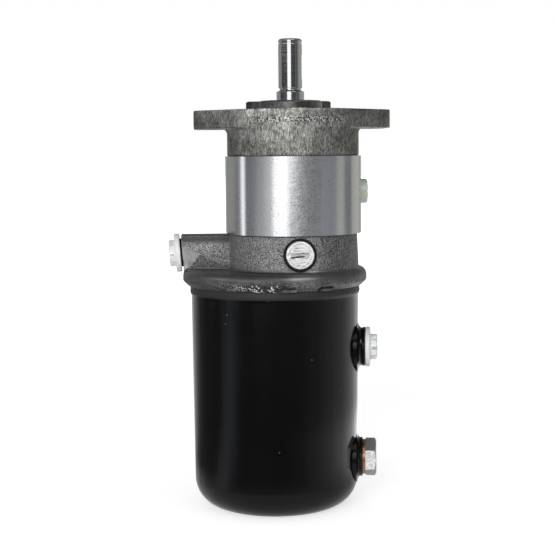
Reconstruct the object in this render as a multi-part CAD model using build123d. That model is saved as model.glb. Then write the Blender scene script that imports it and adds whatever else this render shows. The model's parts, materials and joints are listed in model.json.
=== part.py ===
from build123d import *
import os
from math import acos, cos, pi, radians, sin, sqrt, tan

os.makedirs("parts", exist_ok=True)

# Gear pump with its own oil reservoir, millimetres.
# Origin: the shaft axis at the mounting face. +Z runs out along the shaft, +X to the ported side.
# The idler gear and the slotted relief plug lie on the -Y side.

# Heights of the stacked housings
flange_thickness = 12.0
neck_height = 18.0
housing_height = 50.0
cover_height = 35.0
reservoir_depth = 148.0

# Outline of the pump: two round lobes, one near each gear
lobe_rear_y = -5.0
lobe_front_y = -24.0
neck_radius = 42.8
housing_radius = 44.2
cover_radius = 41.6
cover_draft = 2.5

# Mounting ears, pilot and shaft seal
ear_hole_spacing = 106.4
ear_hole_radius = 5.55
ear_round = 11.7
ear_half_width = 26.0
ear_blend = 3.6
pilot_radius = 21.3
pilot_height = 6.6
pilot_chamfer = 1.0
seal_radius = 15.0
seal_depth = 7.5
seal_recess = 2.2
clip_bite = 0.8
clip_thickness = 1.0
clip_width = 2.5

# Drive shaft
shaft_radius = 7.9375
shaft_height = 47.6
shaft_chamfer = 1.0
ring_groove_z = 44.0
ring_groove_width = 1.1
ring_groove_depth = 0.45
neck_low_z = 13.6
neck_high_z = 15.0
neck_depth = 0.8
journal_radius = 9.25
keyway_top_z = 37.2
keyway_low_z = 28.0
keyway_width = 4.76
keyway_depth = 2.4
keyway_cutter_radius = 12.0
centre_hole_radius = 2.5

# Gear pair
gear_teeth = 10
gear_centres = 29.0
gear_width = 19.9
gear_addendum = 2.45
gear_dedendum = 3.05
pressure_angle = 28.0
tooth_thinning = 0.04
block_height = 15.0
bush_wall = 1.5

# Seals, dowels and bolts between the housings
body_seal_radius = 23.2
body_seal_width = 2.4
body_seal_height = 2.0
pressure_seal_radius = 14.0
pressure_seal_width = 1.8
pressure_seal_height = 1.4
dowel_radius = 3.0
dowel_length = 12.0
dowel_x = 34.0
dowel_y = 10.0
bolt_radius = 3.97
bolt_length = 103.0
bolt_x = 21.8
bolt_rear_y = 20.5
bolt_head_flats = 12.7
bolt_head_height = 5.6
washer_radius = 7.9
washer_thickness = 1.4
counterbore_radius = 8.6

# Reservoir flange and can
can_x = -12.2
can_y = -14.5
can_radius_top = 55.6
can_taper = 1.2
ring_overhang = 5.4
ring_shoulder_inset = 2.4
ring_edge_inset = 0.6
ring_lip_inset = 3.7
ring_shoulder_z = 11.3
ring_edge_z = 9.4
ring_top_z = 7.2
ring_low_z = 3.6
rim_groove_depth = 6.6
can_wall = 1.2
can_bead = 0.9
can_bead_drop = 3.4
can_corner_radius = 19.0
foot_width = 27.4
dimple_slope = 5.0
dimple_height = 8.0
dimple_bend = 3.0
rim_seal_height = 1.4
notch_height = 3.0
notch_width = 10.2
notch_floor = 0.5
notch_turns = (4.0, 30.0)
hub_radius = 20.0
hub_drop = 3.0
spigot_radius = 15.5
spigot_drop = 8.0
underside_recess = 4.0

# Inlet boss on the -X side of the rear cover
inlet_face_stand = 0.2
inlet_drop = 13.0
inlet_tilt = 4.0
inlet_boss_width = 30.0
inlet_boss_height = 26.0
inlet_boss_drop = 1.3
inlet_boss_round = 9.5
inlet_port_radius = 8.2
inlet_port_depth = 16.0
inlet_gallery_radius = 6.0
inlet_gallery_end_x = -12.0
suction_x = -24.0
suction_radius = 4.0
facet_top_offset = (-0.8, -14.9, 5.0)
facet_tip_offset = (11.9, -15.0, -0.5)
facet_foot_offset = (1.9, -5.0, -13.0)

# Outlet port on the +X side of the gear housing
outlet_drop = 23.5
outlet_spot_radius = 11.0
outlet_spot_depth = 1.8
outlet_port_radius = 8.0
outlet_port_depth = 14.0
outlet_gallery_radius = 5.0
side_pocket_x = 15.5
side_pocket_radius = 6.0

# Relief valve across the rear cover
relief_x = 1.0
relief_drop = 11.9
relief_spot_radius = 10.65
relief_spot_y = -66.4
relief_head_radius = 8.85
relief_head_height = 2.2
relief_slot_width = 2.2
relief_slot_depth = 1.2
relief_slot_turn = 5.0
relief_thread_radius = 7.0
relief_thread_length = 13.0
relief_bore_radius = 6.5
relief_end_y = -13.5
relief_feed_radius = 2.5
relief_feed_y = -11.0
relief_seat_length = 4.5
relief_piston_length = 16.0
relief_piston_bore = 4.7
relief_piston_floor = 6.0
relief_spring_radius = 3.6
relief_spring_wire = 0.7
relief_spring_turns = 6
relief_plug_bore = 5.0
relief_plug_floor = 5.0

# Ports on the can
port_turn = 9.0
return_drop = 76.6
drain_rise = 32.0
return_stand = 5.2
drain_stand = 3.7
collar_radius = 13.2
collar_waist = 12.4
collar_flare = 4.6
collar_flare_width = 3.2
collar_skirt = 4.0
collar_ring_width = 2.6
return_thread_radius = 8.5
drain_thread_radius = 8.3
drain_plug_flats = 22.2
drain_plug_height = 7.0
drain_thread_length = 9.5
drain_washer_radius = 11.7
drain_washer_thickness = 2.0

# Moulded transport caps: flange radius and thickness, knob radius and height
inlet_cap_flange = (12.7, 3.4)
inlet_cap_knob = (8.7, 4.0)
return_cap_flange = (13.2, 2.9)
return_cap_knob = (8.4, 4.6)
outlet_cap_flange = (10.1, 1.6)
outlet_cap_knob = (8.1, 5.6)
cap_stem_length = 8.0
cap_slots = 4
cap_slot_width = 1.9
cap_slot_depth = 2.9
cap_recess_radius = 4.6
inlet_seal_radius = 9.3
inlet_seal_thickness = 1.2

# Filter and the bolt that holds the can
filter_radius = 34.0
filter_bore = 19.5
filter_height = 88.0
filter_pleats = 32
filter_pleat_depth = 7.0
plate_radius = 35.5
plate_thickness = 1.2
plate_rim = 4.0
filter_spring_radius = 15.0
filter_spring_wire = 1.1
filter_spring_turns = 5
can_bolt_radius = 4.0
can_bolt_flats = 13.0
can_bolt_head = 5.0
can_bolt_grip = 14.0
can_washer_radius = 8.5
can_washer_thickness = 1.6

# Fits
running_fit = 0.05
seat_fit = 0.03
bolt_clearance = 0.35
body_gap = 0.3
end_play = 0.1

# Levels and places worked out from the sizes above
z_under = -flange_thickness
z_front = -(flange_thickness + neck_height)
z_rear = z_front - housing_height
z_rim = z_rear - cover_height
z_foot = z_rim - reservoir_depth
z_dimple = z_foot + dimple_height
z_groove = z_rim + rim_groove_depth
z_can_top = z_groove - rim_seal_height
z_outlet = z_front - outlet_drop
z_inlet = z_rear - inlet_drop
z_relief = z_rear - relief_drop
z_return = z_rear - return_drop
z_drain = z_foot + drain_rise
can_radius_low = can_radius_top - can_taper
ring_radius = can_radius_top + ring_overhang
inlet_face_x = can_x - ring_radius - inlet_face_stand
foot_inner_radius = can_radius_low - foot_width
dimple_radius = foot_inner_radius - dimple_slope
taper_slope = can_taper / (z_can_top - z_foot)
return_skin = can_radius_top - taper_slope * (z_can_top - z_return)
drain_skin = can_radius_top - taper_slope * (z_can_top - z_drain)
return_reach = return_skin + return_stand
drain_reach = drain_skin + drain_stand
z_gear_top = z_front - block_height - end_play
z_gear_low = z_gear_top - gear_width
lobe_y = (lobe_rear_y + lobe_front_y) / 2
idler_y = -gear_centres
bolt_front_y = 2 * lobe_y - bolt_rear_y
tip_radius = gear_centres / 2 + gear_addendum
root_radius = gear_centres / 2 - gear_dedendum
pocket_radius = tip_radius + running_fit
bush_outer = journal_radius + running_fit + bush_wall
can_centre = Pos(can_x, can_y, 0)
bolt_spots = [(side * bolt_x, y) for y in (bolt_rear_y, bolt_front_y) for side in (-1, 1)]
dowel_spots = [(-dowel_x, lobe_y + dowel_y), (dowel_x, lobe_y - dowel_y)]
tilt = radians(inlet_tilt)
turn = radians(port_turn)
inlet_centre = Vector(inlet_face_x, lobe_y, z_inlet)
inlet_port = Plane(inlet_centre, x_dir=(0, 1, 0), z_dir=(-cos(tilt), 0, -sin(tilt)))
outlet_face_x = housing_radius - outlet_spot_depth
outlet_port = Plane((outlet_face_x, lobe_y, z_outlet), x_dir=(0, 0, 1), z_dir=(1, 0, 0))
relief_port = Plane((relief_x, relief_spot_y, z_relief), x_dir=(1, 0, 0), z_dir=(0, -1, 0))
port_direction = (cos(turn), -sin(turn), 0)
return_port = Plane((can_x, can_y, z_return), x_dir=(0, 0, 1), z_dir=port_direction)
drain_port = Plane((can_x, can_y, z_drain), x_dir=(0, 0, 1), z_dir=port_direction)


def save(name, shape):
    """Write one sub-part to its own file."""
    export_step(shape, f"parts/{name}.step")


def rod(radius, low, high, x=0.0, y=0.0):
    """Upright cylinder between two levels."""
    return Pos(x, y, (low + high) / 2) * Cylinder(radius, high - low)


def drilling(port, radius, start, end):
    """Cylinder along a port's axis, between two distances from the port's face."""
    return port.location * rod(radius, min(start, end), max(start, end))


def slab(outline, low, high):
    """Flat outline made solid between two levels."""
    return extrude(Pos(0, 0, low) * outline, high - low)


def turned(*outline):
    """Body of revolution about Z from points of radius and height."""
    return revolve(make_face(Plane.XZ * Polyline(*outline, close=True)), Axis.Z)


def hollow_rod(outer, inner, low, high, x=0.0, y=0.0):
    """Upright tube between two levels."""
    return rod(outer, low, high, x, y) - rod(inner, low, high, x, y)


def racetrack(radius):
    """Pump outline: two lobes joined by straight sides."""
    return Pos(0, lobe_y) * SlotCenterToCenter(lobe_rear_y - lobe_front_y, 2 * radius, rotation=90)


def gear_race(radius):
    """Straight-sided outline round both gear axes."""
    return Pos(0, idler_y / 2) * SlotCenterToCenter(gear_centres, 2 * radius, rotation=90)


def figure_eight(radius):
    """Outline of the two meeting gear bores."""
    return Circle(radius) + Pos(0, idler_y) * Circle(radius)


def bolt_holes(low, high, radius):
    """Four holes for the long bolts."""
    return [rod(radius, low, high, x, y) for x, y in bolt_spots]


def dowel_holes(joint):
    """Dowel holes on both sides of a joint face."""
    half = dowel_length / 2 + end_play
    return [rod(dowel_radius + seat_fit, joint - half, joint + half, x, y) for x, y in dowel_spots]


def hexagon(flats):
    """Hexagon by its width across flats, with a corner on its own X."""
    return RegularPolygon(flats / 2, 6, major_radius=False, rotation=0)


def hex_head(flats, height):
    """Hexagon head standing on Z = 0, its top corners turned off."""
    corner = flats / 2 / cos(pi / 6)
    bevel = corner - flats / 2 * 0.97
    lathe = turned(
        (0, 0), (corner, 0), (corner, height - bevel * tan(pi / 6)), (corner - bevel, height), (0, height)
    )
    return extrude(hexagon(flats), height) & lathe


def mounting_flange():
    """Cast end plate with two wide ears, the pilot, the seal pocket and the neck."""
    ear_x = ear_hole_spacing / 2
    corner_y = ear_half_width - ear_round
    corners = [(side * ear_x, y) for side in (-1, 1) for y in (-corner_y, corner_y)]
    ears = [Pos(x, y) * Circle(ear_round) for x, y in corners]
    lobes = [Pos(0, y) * Circle(neck_radius) for y in (lobe_rear_y, lobe_front_y)]
    plate = make_hull([edge for circle in ears + lobes for edge in circle.edges()])
    body = slab(plate, z_under, 0) + slab(racetrack(neck_radius), z_front, z_under)
    ear_span = Pos(0, 0, z_under) * Box(2 * ear_x, 2 * ear_half_width, 4 * ear_blend)
    for step in (1, 2, 3):
        drop = ear_blend * step / 4
        spread = ear_blend - sqrt(ear_blend**2 - (ear_blend - drop) ** 2)
        web = slab(racetrack(neck_radius + spread), z_under - drop, z_under + end_play)
        body += web & ear_span
    body += rod(pilot_radius, -end_play, pilot_height - pilot_chamfer)
    body += Pos(0, 0, pilot_height - pilot_chamfer / 2) * Cone(
        pilot_radius, pilot_radius - pilot_chamfer, pilot_chamfer
    )
    seal_floor = pilot_height - seal_recess - seal_depth
    body -= rod(seal_radius, seal_floor, pilot_height)
    body -= rod(journal_radius + body_gap, z_front, pilot_height)
    clip_low = pilot_height - seal_recess
    body -= rod(seal_radius + clip_bite, clip_low, clip_low + clip_thickness + end_play)
    body -= [rod(ear_hole_radius, z_under, 0, side * ear_x) for side in (-1, 1)]
    body -= bolt_holes(z_front, 0, bolt_radius + bolt_clearance)
    depth = bolt_head_height + washer_thickness + body_gap
    body -= [rod(counterbore_radius, -depth, 0, x, bolt_front_y) for x in (-bolt_x, bolt_x)]
    body -= slab(seal_track(bolt_clearance / 2), z_front, z_front + body_seal_height)
    body -= dowel_holes(z_front)
    return body


def seal_track(room=0.0):
    """Closed track of the body seal, widened by some room."""
    half = body_seal_width / 2 - bolt_clearance / 2 + room
    return gear_race(body_seal_radius + half) - gear_race(body_seal_radius - half)


def pump_body():
    """Extruded gear housing with the gear bores, side pockets and the outlet port."""
    body = slab(racetrack(housing_radius), z_rear, z_front)
    body -= slab(figure_eight(pocket_radius), z_rear, z_front)
    body -= rod(side_pocket_radius, z_rear, z_gear_top, -side_pocket_x, lobe_y)
    body -= rod(side_pocket_radius, z_gear_low, z_gear_top, side_pocket_x, lobe_y)
    body -= rod(relief_feed_radius, z_rear, z_gear_top, side_pocket_x, relief_feed_y)
    body -= drilling(outlet_port, outlet_spot_radius, 0, 2 * outlet_spot_depth)
    body -= drilling(outlet_port, outlet_port_radius, -outlet_port_depth, 0)
    body -= drilling(outlet_port, outlet_gallery_radius, side_pocket_x - outlet_face_x, 0)
    body -= bolt_holes(z_rear, z_front, bolt_radius + bolt_clearance)
    body -= dowel_holes(z_front) + dowel_holes(z_rear)
    return body


def inlet_boss():
    """Block that carries the inlet port, cut square to the tilted port and ground off at one corner."""
    top = z_rear - inlet_boss_drop
    middle = top - inlet_boss_height / 2
    section = Plane((can_x, lobe_y, middle), x_dir=(0, 1, 0), z_dir=(-1, 0, 0)) * RectangleRounded(
        inlet_boss_width, inlet_boss_height, inlet_boss_round
    )
    upper = Pos((can_x + inlet_face_x) / 2, lobe_y) * Rectangle(
        can_x - inlet_face_x + 10, inlet_boss_width - inlet_boss_round
    )
    boss = extrude(section, can_x - inlet_face_x + 5) + slab(upper, top - inlet_boss_round, top)
    along = Vector(*facet_tip_offset) - Vector(*facet_top_offset)
    corner_cut = Plane(inlet_centre + Vector(*facet_top_offset), x_dir=along, z_dir=facet_normal())
    for cut in (inlet_port, corner_cut):
        boss -= cut.location * Box(90, 90, 30, align=(Align.CENTER, Align.CENTER, Align.MIN))
    return boss


def facet_normal():
    """Outward direction of the ground corner, from its three points."""
    along = Vector(*facet_tip_offset) - Vector(*facet_top_offset)
    down = Vector(*facet_foot_offset) - Vector(*facet_top_offset)
    return down.cross(along).normalized()


def reservoir_ring():
    """Round flange over the can, with the filter hub below it."""
    ring = turned(
        (0, z_rim + ring_shoulder_z), (ring_radius - ring_shoulder_inset, z_rim + ring_shoulder_z),
        (ring_radius - ring_edge_inset, z_rim + ring_edge_z), (ring_radius, z_rim + ring_top_z),
        (ring_radius, z_rim + ring_low_z), (ring_radius - ring_lip_inset, z_rim), (0, z_rim),
    )
    ring -= hollow_rod(can_radius_top - can_wall - 6, hub_radius, z_rim, z_rim + underside_recess)
    ring += rod(hub_radius, z_rim - hub_drop, z_rim + underside_recess)
    ring += rod(spigot_radius, z_rim - spigot_drop, z_rim)
    groove_in = can_radius_top - can_wall - body_gap
    ring -= hollow_rod(can_radius_top + seat_fit * 3, groove_in, z_rim, z_groove)
    notch_reach = 2 * (ring_overhang - notch_floor)
    for angle in notch_turns:
        notch = Pos(0, -ring_radius, z_rim) * Box(notch_width, notch_reach, 2 * notch_height)
        ring -= Rot(0, 0, angle) * notch
    return can_centre * ring


def rear_cover():
    """Cast rear cover: pump outline above, reservoir flange below, inlet boss and relief valve bore."""
    top = Pos(0, 0, z_rear) * racetrack(cover_radius)
    body = extrude(top, -(cover_height - ring_shoulder_z + 4), taper=-cover_draft)
    body += reservoir_ring()
    body += inlet_boss()
    body -= drilling(inlet_port, inlet_port_radius, -inlet_port_depth, 1)
    reach = (inlet_gallery_end_x - inlet_face_x) / cos(tilt)
    body -= drilling(inlet_port, inlet_gallery_radius, -reach, 0)
    body -= rod(inlet_gallery_radius - 1, z_inlet, z_rear, -side_pocket_x - 1, lobe_y)
    body -= rod(suction_radius, z_rim - spigot_drop, z_inlet, suction_x, lobe_y)
    body -= rod(relief_feed_radius, z_relief, z_rear, side_pocket_x, relief_feed_y)
    feed = Plane((relief_x, relief_feed_y, z_relief), z_dir=(1, 0, 0))
    body -= drilling(feed, relief_feed_radius, 0, side_pocket_x - relief_x)
    spill = Plane((inlet_gallery_end_x, relief_end_y - 2 * relief_seat_length, z_relief), z_dir=(1, 0, 0))
    body -= drilling(spill, relief_feed_radius, -3, relief_x - inlet_gallery_end_x)
    body -= drilling(relief_port, relief_spot_radius, 0, 6)
    body -= drilling(relief_port, relief_thread_radius, -relief_thread_length, 0)
    body -= drilling(relief_port, relief_bore_radius, relief_spot_y - relief_end_y, 0)
    body -= drilling(relief_port, relief_feed_radius, relief_spot_y - relief_feed_y, 0)
    hole_low = -bolt_length - 4
    rear_bolts = [rod(bolt_radius + seat_fit, hole_low, z_rear, x, bolt_rear_y) for x in (-bolt_x, bolt_x)]
    low_front = z_rim + underside_recess + 1
    front_bolts = [rod(bolt_radius + seat_fit, low_front, z_rear, x, bolt_front_y) for x in (-bolt_x, bolt_x)]
    body -= rear_bolts + front_bolts
    body -= slab(seal_track(bolt_clearance / 2), z_rear - body_seal_height, z_rear)
    body -= dowel_holes(z_rear)
    body -= rod(can_bolt_radius + seat_fit, z_rim - spigot_drop, z_rim + can_bolt_grip, can_x, can_y)
    return body


def can_form(inset):
    """Filled form of the can with its skin moved inwards."""
    floor = z_foot + inset
    points = [
        (0, z_dimple + inset),
        (dimple_radius + inset, z_dimple + inset),
        (foot_inner_radius + inset, floor),
        (can_radius_low - inset, floor),
        (can_radius_top - inset, z_can_top),
    ]
    bends = [dimple_bend + inset, dimple_bend, can_corner_radius - inset]
    skin = FilletPolyline(*points, radius=bends)
    top = Polyline(points[-1], (0, z_can_top), points[0])
    return revolve(make_face(Plane.XZ * (skin + top)), Axis.Z)


def reservoir_can():
    """Drawn steel can with a raised centre, a bead below the rim and two port holes."""
    bead = Pos(0, 0, z_rim - can_bead_drop) * Torus(can_radius_top - can_bead, 2 * can_bead)
    can = can_form(0) + bead - can_form(can_wall)
    can -= rod(can_radius_top - can_wall, z_rim - 2 * can_bead_drop, z_can_top)
    can -= rod(can_bolt_radius + bolt_clearance, z_foot, z_dimple + 2 * can_wall)
    can = can_centre * can
    can -= drilling(return_port, collar_waist - 1, can_radius_low / 2, return_reach)
    can -= drilling(drain_port, collar_waist - 1, can_radius_low / 2, drain_reach)
    return can


def port_collar(port, skin, reach, thread_radius):
    """Weld collar: a flared skirt that follows the can, a waist, a ring and the port face."""
    start = skin - 12
    inner = collar_waist - 1.2
    ring_low = reach - collar_ring_width
    flare = []
    for step in range(5):
        angle = pi / 8 * step
        flare.append((
            collar_waist + collar_flare * (1 - sin(angle)),
            skin + collar_flare_width * (1 - cos(angle)),
        ))
    collar = turned(
        (thread_radius, start), (inner, start), (inner, skin - collar_skirt),
        (collar_waist + collar_flare, skin - collar_skirt), *flare, (collar_waist, ring_low),
        (collar_radius - 0.4, ring_low + 0.4), (collar_radius, reach - 0.7),
        (collar_radius - 0.7, reach), (thread_radius, reach),
    )
    skirt = port.location * collar
    stem = port.location * hollow_rod(inner, thread_radius, start + 8, reach - 1)
    return (skirt - can_centre * can_form(0)) + stem


def tooth_side(offset_angle):
    """Points of one involute flank, from the base circle to the tip, mirrored by the sign."""
    base = gear_centres / 2 * cos(radians(pressure_angle))
    roll_tip = sqrt((tip_radius / base) ** 2 - 1)
    points = []
    for step in range(3):
        roll = roll_tip * step / 2
        radius = base * sqrt(1 + roll**2)
        angle = offset_angle - (roll - acos(base / radius))
        points.append((radius, angle))
    return points


def gear_blank(first_tooth):
    """Spur gear of the pair with one tooth centred on an angle in degrees."""
    pitch_half = pi / (2 * gear_teeth) * (1 - tooth_thinning)
    flank = radians(pressure_angle)
    half_base = pitch_half + tan(flank) - flank
    side = tooth_side(half_base)
    left = [(r * cos(a), r * sin(a)) for r, a in side]
    right = [(x, -y) for x, y in left]
    foot = root_radius - 1.0
    low = (foot * cos(half_base), foot * sin(half_base))
    tip_edge = ThreePointArc(left[2], (tip_radius, 0), right[2])
    outline = (
        Line(low, left[0]) + ThreePointArc(*left) + tip_edge + ThreePointArc(*right)
        + Line(right[0], (low[0], -low[1])) + Line((low[0], -low[1]), low)
    )
    tooth = make_face(outline)
    gear = Circle(root_radius)
    for number in range(gear_teeth):
        gear += Rot(0, 0, first_tooth + 360 / gear_teeth * number) * tooth
    return slab(gear, z_gear_low, z_gear_top)


def drive_shaft():
    """Shaft with its key slot, circlip groove and relief, made in one piece with the driving gear."""
    relief = shaft_radius - neck_depth
    groove = shaft_radius - ring_groove_depth
    groove_top = ring_groove_z + ring_groove_width
    top_bevel = journal_radius - relief
    end = z_rear + end_play
    shaft = turned(
        (0, shaft_height), (shaft_radius - shaft_chamfer, shaft_height),
        (shaft_radius, shaft_height - shaft_chamfer), (shaft_radius, groove_top), (groove, groove_top),
        (groove, ring_groove_z), (shaft_radius, ring_groove_z), (shaft_radius, neck_high_z),
        (relief, neck_high_z), (relief, neck_low_z), (journal_radius, neck_low_z - top_bevel / 2),
        (journal_radius, end + shaft_chamfer), (journal_radius - shaft_chamfer, end), (0, end),
    )
    floor_x = shaft_radius - keyway_depth
    slot = Pos(floor_x + keyway_depth, 0, (keyway_top_z + keyway_low_z) / 2) * Box(
        2 * keyway_depth, keyway_width, keyway_top_z - keyway_low_z
    )
    cutter = Pos(floor_x + keyway_cutter_radius, 0, keyway_low_z) * Rot(90, 0, 0) * Cylinder(
        keyway_cutter_radius, keyway_width
    )
    run_out = cutter & Pos(0, 0, keyway_low_z - keyway_cutter_radius) * Box(
        60, keyway_width, 2 * keyway_cutter_radius
    )
    shaft -= slot + run_out
    tip_depth = shaft_height - 2 * centre_hole_radius
    centre = turned(
        (0, shaft_height), (centre_hole_radius, shaft_height),
        (centre_hole_radius / 3, shaft_height - centre_hole_radius), (centre_hole_radius / 3, tip_depth),
        (0, tip_depth),
    )
    return shaft - centre + gear_blank(-90)


def idler_gear():
    """Driven gear with a journal at each end, its gap facing the driving tooth."""
    high = z_front - end_play
    low = z_rear + end_play
    journal = turned(
        (0, high), (journal_radius - shaft_chamfer, high), (journal_radius, high - shaft_chamfer),
        (journal_radius, low + shaft_chamfer), (journal_radius - shaft_chamfer, low), (0, low),
    )
    return Pos(0, idler_y, 0) * (journal + gear_blank(90 + 180 / gear_teeth))


def bearing_block(low, high, outer_face):
    """Figure-eight block in the gear bores, bored for two bushes, grooved for its pressure seal."""
    block = slab(figure_eight(pocket_radius - seat_fit), low, high)
    block -= [rod(bush_outer + seat_fit, low, high, 0, y) for y in (0, idler_y)]
    groove_low = low if outer_face == low else high - pressure_seal_height
    block -= slab(pressure_track(body_gap / 2), groove_low, groove_low + pressure_seal_height)
    return block


def pressure_track(room=0.0):
    """Track of the seal on the outer face of a bearing block."""
    half = pressure_seal_width / 2 - body_gap / 2 + room
    return figure_eight(pressure_seal_radius + half) - figure_eight(pressure_seal_radius - half)


def shaft_seal():
    """Lip seal: metal-backed ring with a lip that rides on the journal."""
    high = pilot_height - seal_recess
    low = high - seal_depth
    lip = journal_radius + running_fit
    outer = seal_radius - seat_fit
    return turned(
        (outer, low), (outer, high), (lip + 0.6, high), (lip + 0.1, high - 1.2), (lip + 1.0, high - 2.4),
        (lip, low + 2.2), (lip + 1.4, low + 0.6), (lip + 2.6, low + 1.6), (lip + 2.8, high - 2.2),
        (outer - 1.4, high - 2.2), (outer - 1.4, low),
    )


def seal_circlip():
    """Open ring in the groove above the seal, with two drilled ends."""
    low = pilot_height - seal_recess
    high = low + clip_thickness
    outer = seal_radius + clip_bite - end_play
    ring = hollow_rod(outer, outer - clip_width, low, high)
    ring -= Pos(0, seal_radius, low) * Box(10, 12, 4)
    for side in (-1, 1):
        x = side * 6.6
        y = seal_radius - 3.4
        ring += rod(2.0, low, high, x, y)
        ring -= rod(0.9, low, high, x, y)
    return ring


def long_bolt(x, y, seat):
    """One long bolt with its washer's seat level given."""
    head = Pos(x, y, seat) * hex_head(bolt_head_flats, bolt_head_height)
    return head + rod(bolt_radius, seat - bolt_length, seat, x, y)


def body_bolts():
    """The four long bolts; the front pair sits in counterbores."""
    bolts = []
    for x, y in bolt_spots:
        bolts.append(long_bolt(x, y, bolt_seat(y)))
    return Compound(children=bolts)


def bolt_seat(y):
    """Level of the washer's top face below a bolt head."""
    if y == bolt_rear_y:
        return washer_thickness
    return -(bolt_head_height + body_gap)


def bolt_washers():
    """Plain washers below the four heads."""
    inner = bolt_radius + bolt_clearance
    rings = []
    for x, y in bolt_spots:
        seat = bolt_seat(y)
        rings.append(hollow_rod(washer_radius, inner, seat - washer_thickness, seat, x, y))
    return Compound(children=rings)


def locating_dowels():
    """Hollow dowels across both housing joints."""
    half = dowel_length / 2
    dowels = []
    for joint in (z_front, z_rear):
        for x, y in dowel_spots:
            dowels.append(hollow_rod(dowel_radius, dowel_radius / 2, joint - half, joint + half, x, y))
    return Compound(children=dowels)


def relief_plug():
    """Slotted screw plug, hollow for the spring."""
    inner = -relief_thread_length + seat_fit
    radius = relief_thread_radius - seat_fit
    plug = turned(
        (0, relief_head_height), (relief_head_radius - 0.5, relief_head_height),
        (relief_head_radius, relief_head_height - 0.5), (relief_head_radius, 0), (radius, 0),
        (radius, inner + 0.8), (radius - 0.8, inner), (relief_plug_bore, inner),
        (relief_plug_bore, -relief_plug_floor), (0, -relief_plug_floor),
    )
    slot = Pos(0, 0, relief_head_height) * Box(
        4 * relief_head_radius, relief_slot_width, 2 * relief_slot_depth
    )
    return relief_port.location * (plug - Rot(0, 0, relief_slot_turn) * slot)


def relief_plug_ring():
    """Sealing ring round the head of the plug."""
    room = (relief_spot_radius - relief_head_radius) / 2
    ring = Pos(0, 0, room - seat_fit) * Torus(relief_head_radius + room, room - 2 * seat_fit)
    return relief_port.location * ring


def relief_seat():
    """Valve seat pressed in at the blind end of the bore."""
    end = relief_spot_y - relief_end_y
    seat = turned(
        (relief_feed_radius, end), (relief_bore_radius - seat_fit, end),
        (relief_bore_radius - seat_fit, end + relief_seat_length),
        (relief_feed_radius + 1.0, end + relief_seat_length),
        (relief_feed_radius, end + relief_seat_length - 1.0),
    )
    return relief_port.location * seat


def piston_start():
    """Distance of the piston's shoulder from the plug's face plane."""
    return relief_spot_y - relief_end_y + relief_seat_length + body_gap


def relief_piston():
    """Hollow piston with a conical nose that closes the seat."""
    low = piston_start()
    high = low + relief_piston_length
    outer = relief_bore_radius - running_fit
    piston = turned(
        (0, low - 0.9), (relief_feed_radius + 0.3, low - 0.2), (relief_feed_radius + 0.6, low),
        (outer - 0.6, low), (outer, low + 0.6), (outer, high), (relief_piston_bore, high),
        (relief_piston_bore, low + relief_piston_floor), (0, low + relief_piston_floor),
    )
    return relief_port.location * piston


def coil(radius, wire, low, high, turns):
    """Compression spring between two levels, wire and all."""
    rise = high - low - 2 * wire
    path = Helix(pitch=rise / turns, height=rise, radius=radius)
    section = Plane(path @ 0, z_dir=path % 0) * Circle(wire)
    return Pos(0, 0, low + wire) * sweep(section, path=path)


def relief_spring():
    """Spring between the plug and the piston."""
    low = piston_start() + relief_piston_floor + body_gap
    high = -relief_plug_floor - body_gap
    spring = coil(relief_spring_radius, relief_spring_wire, low, high, relief_spring_turns)
    return relief_port.location * spring


def transport_cap(port, face, flange, knob, stem_radius):
    """Moulded cap: stem in the port, flange on its face, hollow castellated knob outside."""
    flange_radius, flange_thick = flange
    knob_radius, knob_height = knob
    top = flange_thick + knob_height
    cap = turned(
        (0, -1.0), (stem_radius - 1.6, -1.0), (stem_radius - 1.6, -cap_stem_length),
        (stem_radius - 0.5, -cap_stem_length), (stem_radius, -cap_stem_length + 1.5), (stem_radius, 0),
        (flange_radius - 0.3, 0), (flange_radius, 0.4), (flange_radius, flange_thick - 0.5),
        (flange_radius - 0.5, flange_thick), (knob_radius, flange_thick), (knob_radius, top - 0.8),
        (knob_radius - 0.8, top), (cap_recess_radius, top), (cap_recess_radius, flange_thick),
        (0, flange_thick),
    )
    for number in range(cap_slots):
        slot = Pos(0, 0, top) * Box(4 * knob_radius, cap_slot_width, 2 * cap_slot_depth)
        cap -= Rot(0, 0, 180 / cap_slots * number) * slot
    return port.location * Pos(0, 0, face) * cap


def inlet_seal():
    """Black ring between the inlet port's face and its cap."""
    return inlet_port.location * hollow_rod(inlet_seal_radius, inlet_port_radius, 0, inlet_seal_thickness)


def drain_plug():
    """Hexagon plug screwed into the lower collar."""
    face = drain_reach + drain_washer_thickness
    radius = drain_thread_radius - seat_fit
    head = Pos(0, 0, face) * hex_head(drain_plug_flats, drain_plug_height)
    stem = Pos(0, 0, face - drain_thread_length - drain_washer_thickness) * turned(
        (0, 0), (radius - 1, 0), (radius, 1), (radius, drain_thread_length + drain_washer_thickness),
        (0, drain_thread_length + drain_washer_thickness),
    )
    return drain_port.location * (head + stem)


def drain_washer():
    """Copper sealing washer below the drain plug."""
    high = drain_reach + drain_washer_thickness
    ring = hollow_rod(drain_washer_radius, drain_thread_radius + seat_fit, drain_reach, high)
    return drain_port.location * ring


def rim_seal():
    """Flat ring in the groove above the can's rim."""
    return can_centre * hollow_rod(
        can_radius_top, can_radius_top - can_wall - body_gap / 2, z_can_top, z_groove
    )


def plate_top():
    """Level of the filter's upper plate."""
    return z_rim - hub_drop - body_gap


def filter_top_plate():
    """Pressed ring that locates the filter on the hub's spigot."""
    high = plate_top()
    inner = spigot_radius + body_gap
    return can_centre * turned(
        (inner, high), (plate_radius, high), (plate_radius, high - plate_rim),
        (plate_radius - plate_thickness, high - plate_rim),
        (plate_radius - plate_thickness, high - plate_thickness),
        (inner + plate_thickness, high - plate_thickness), (inner + plate_thickness, high - plate_rim),
        (inner, high - plate_rim),
    )


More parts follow.
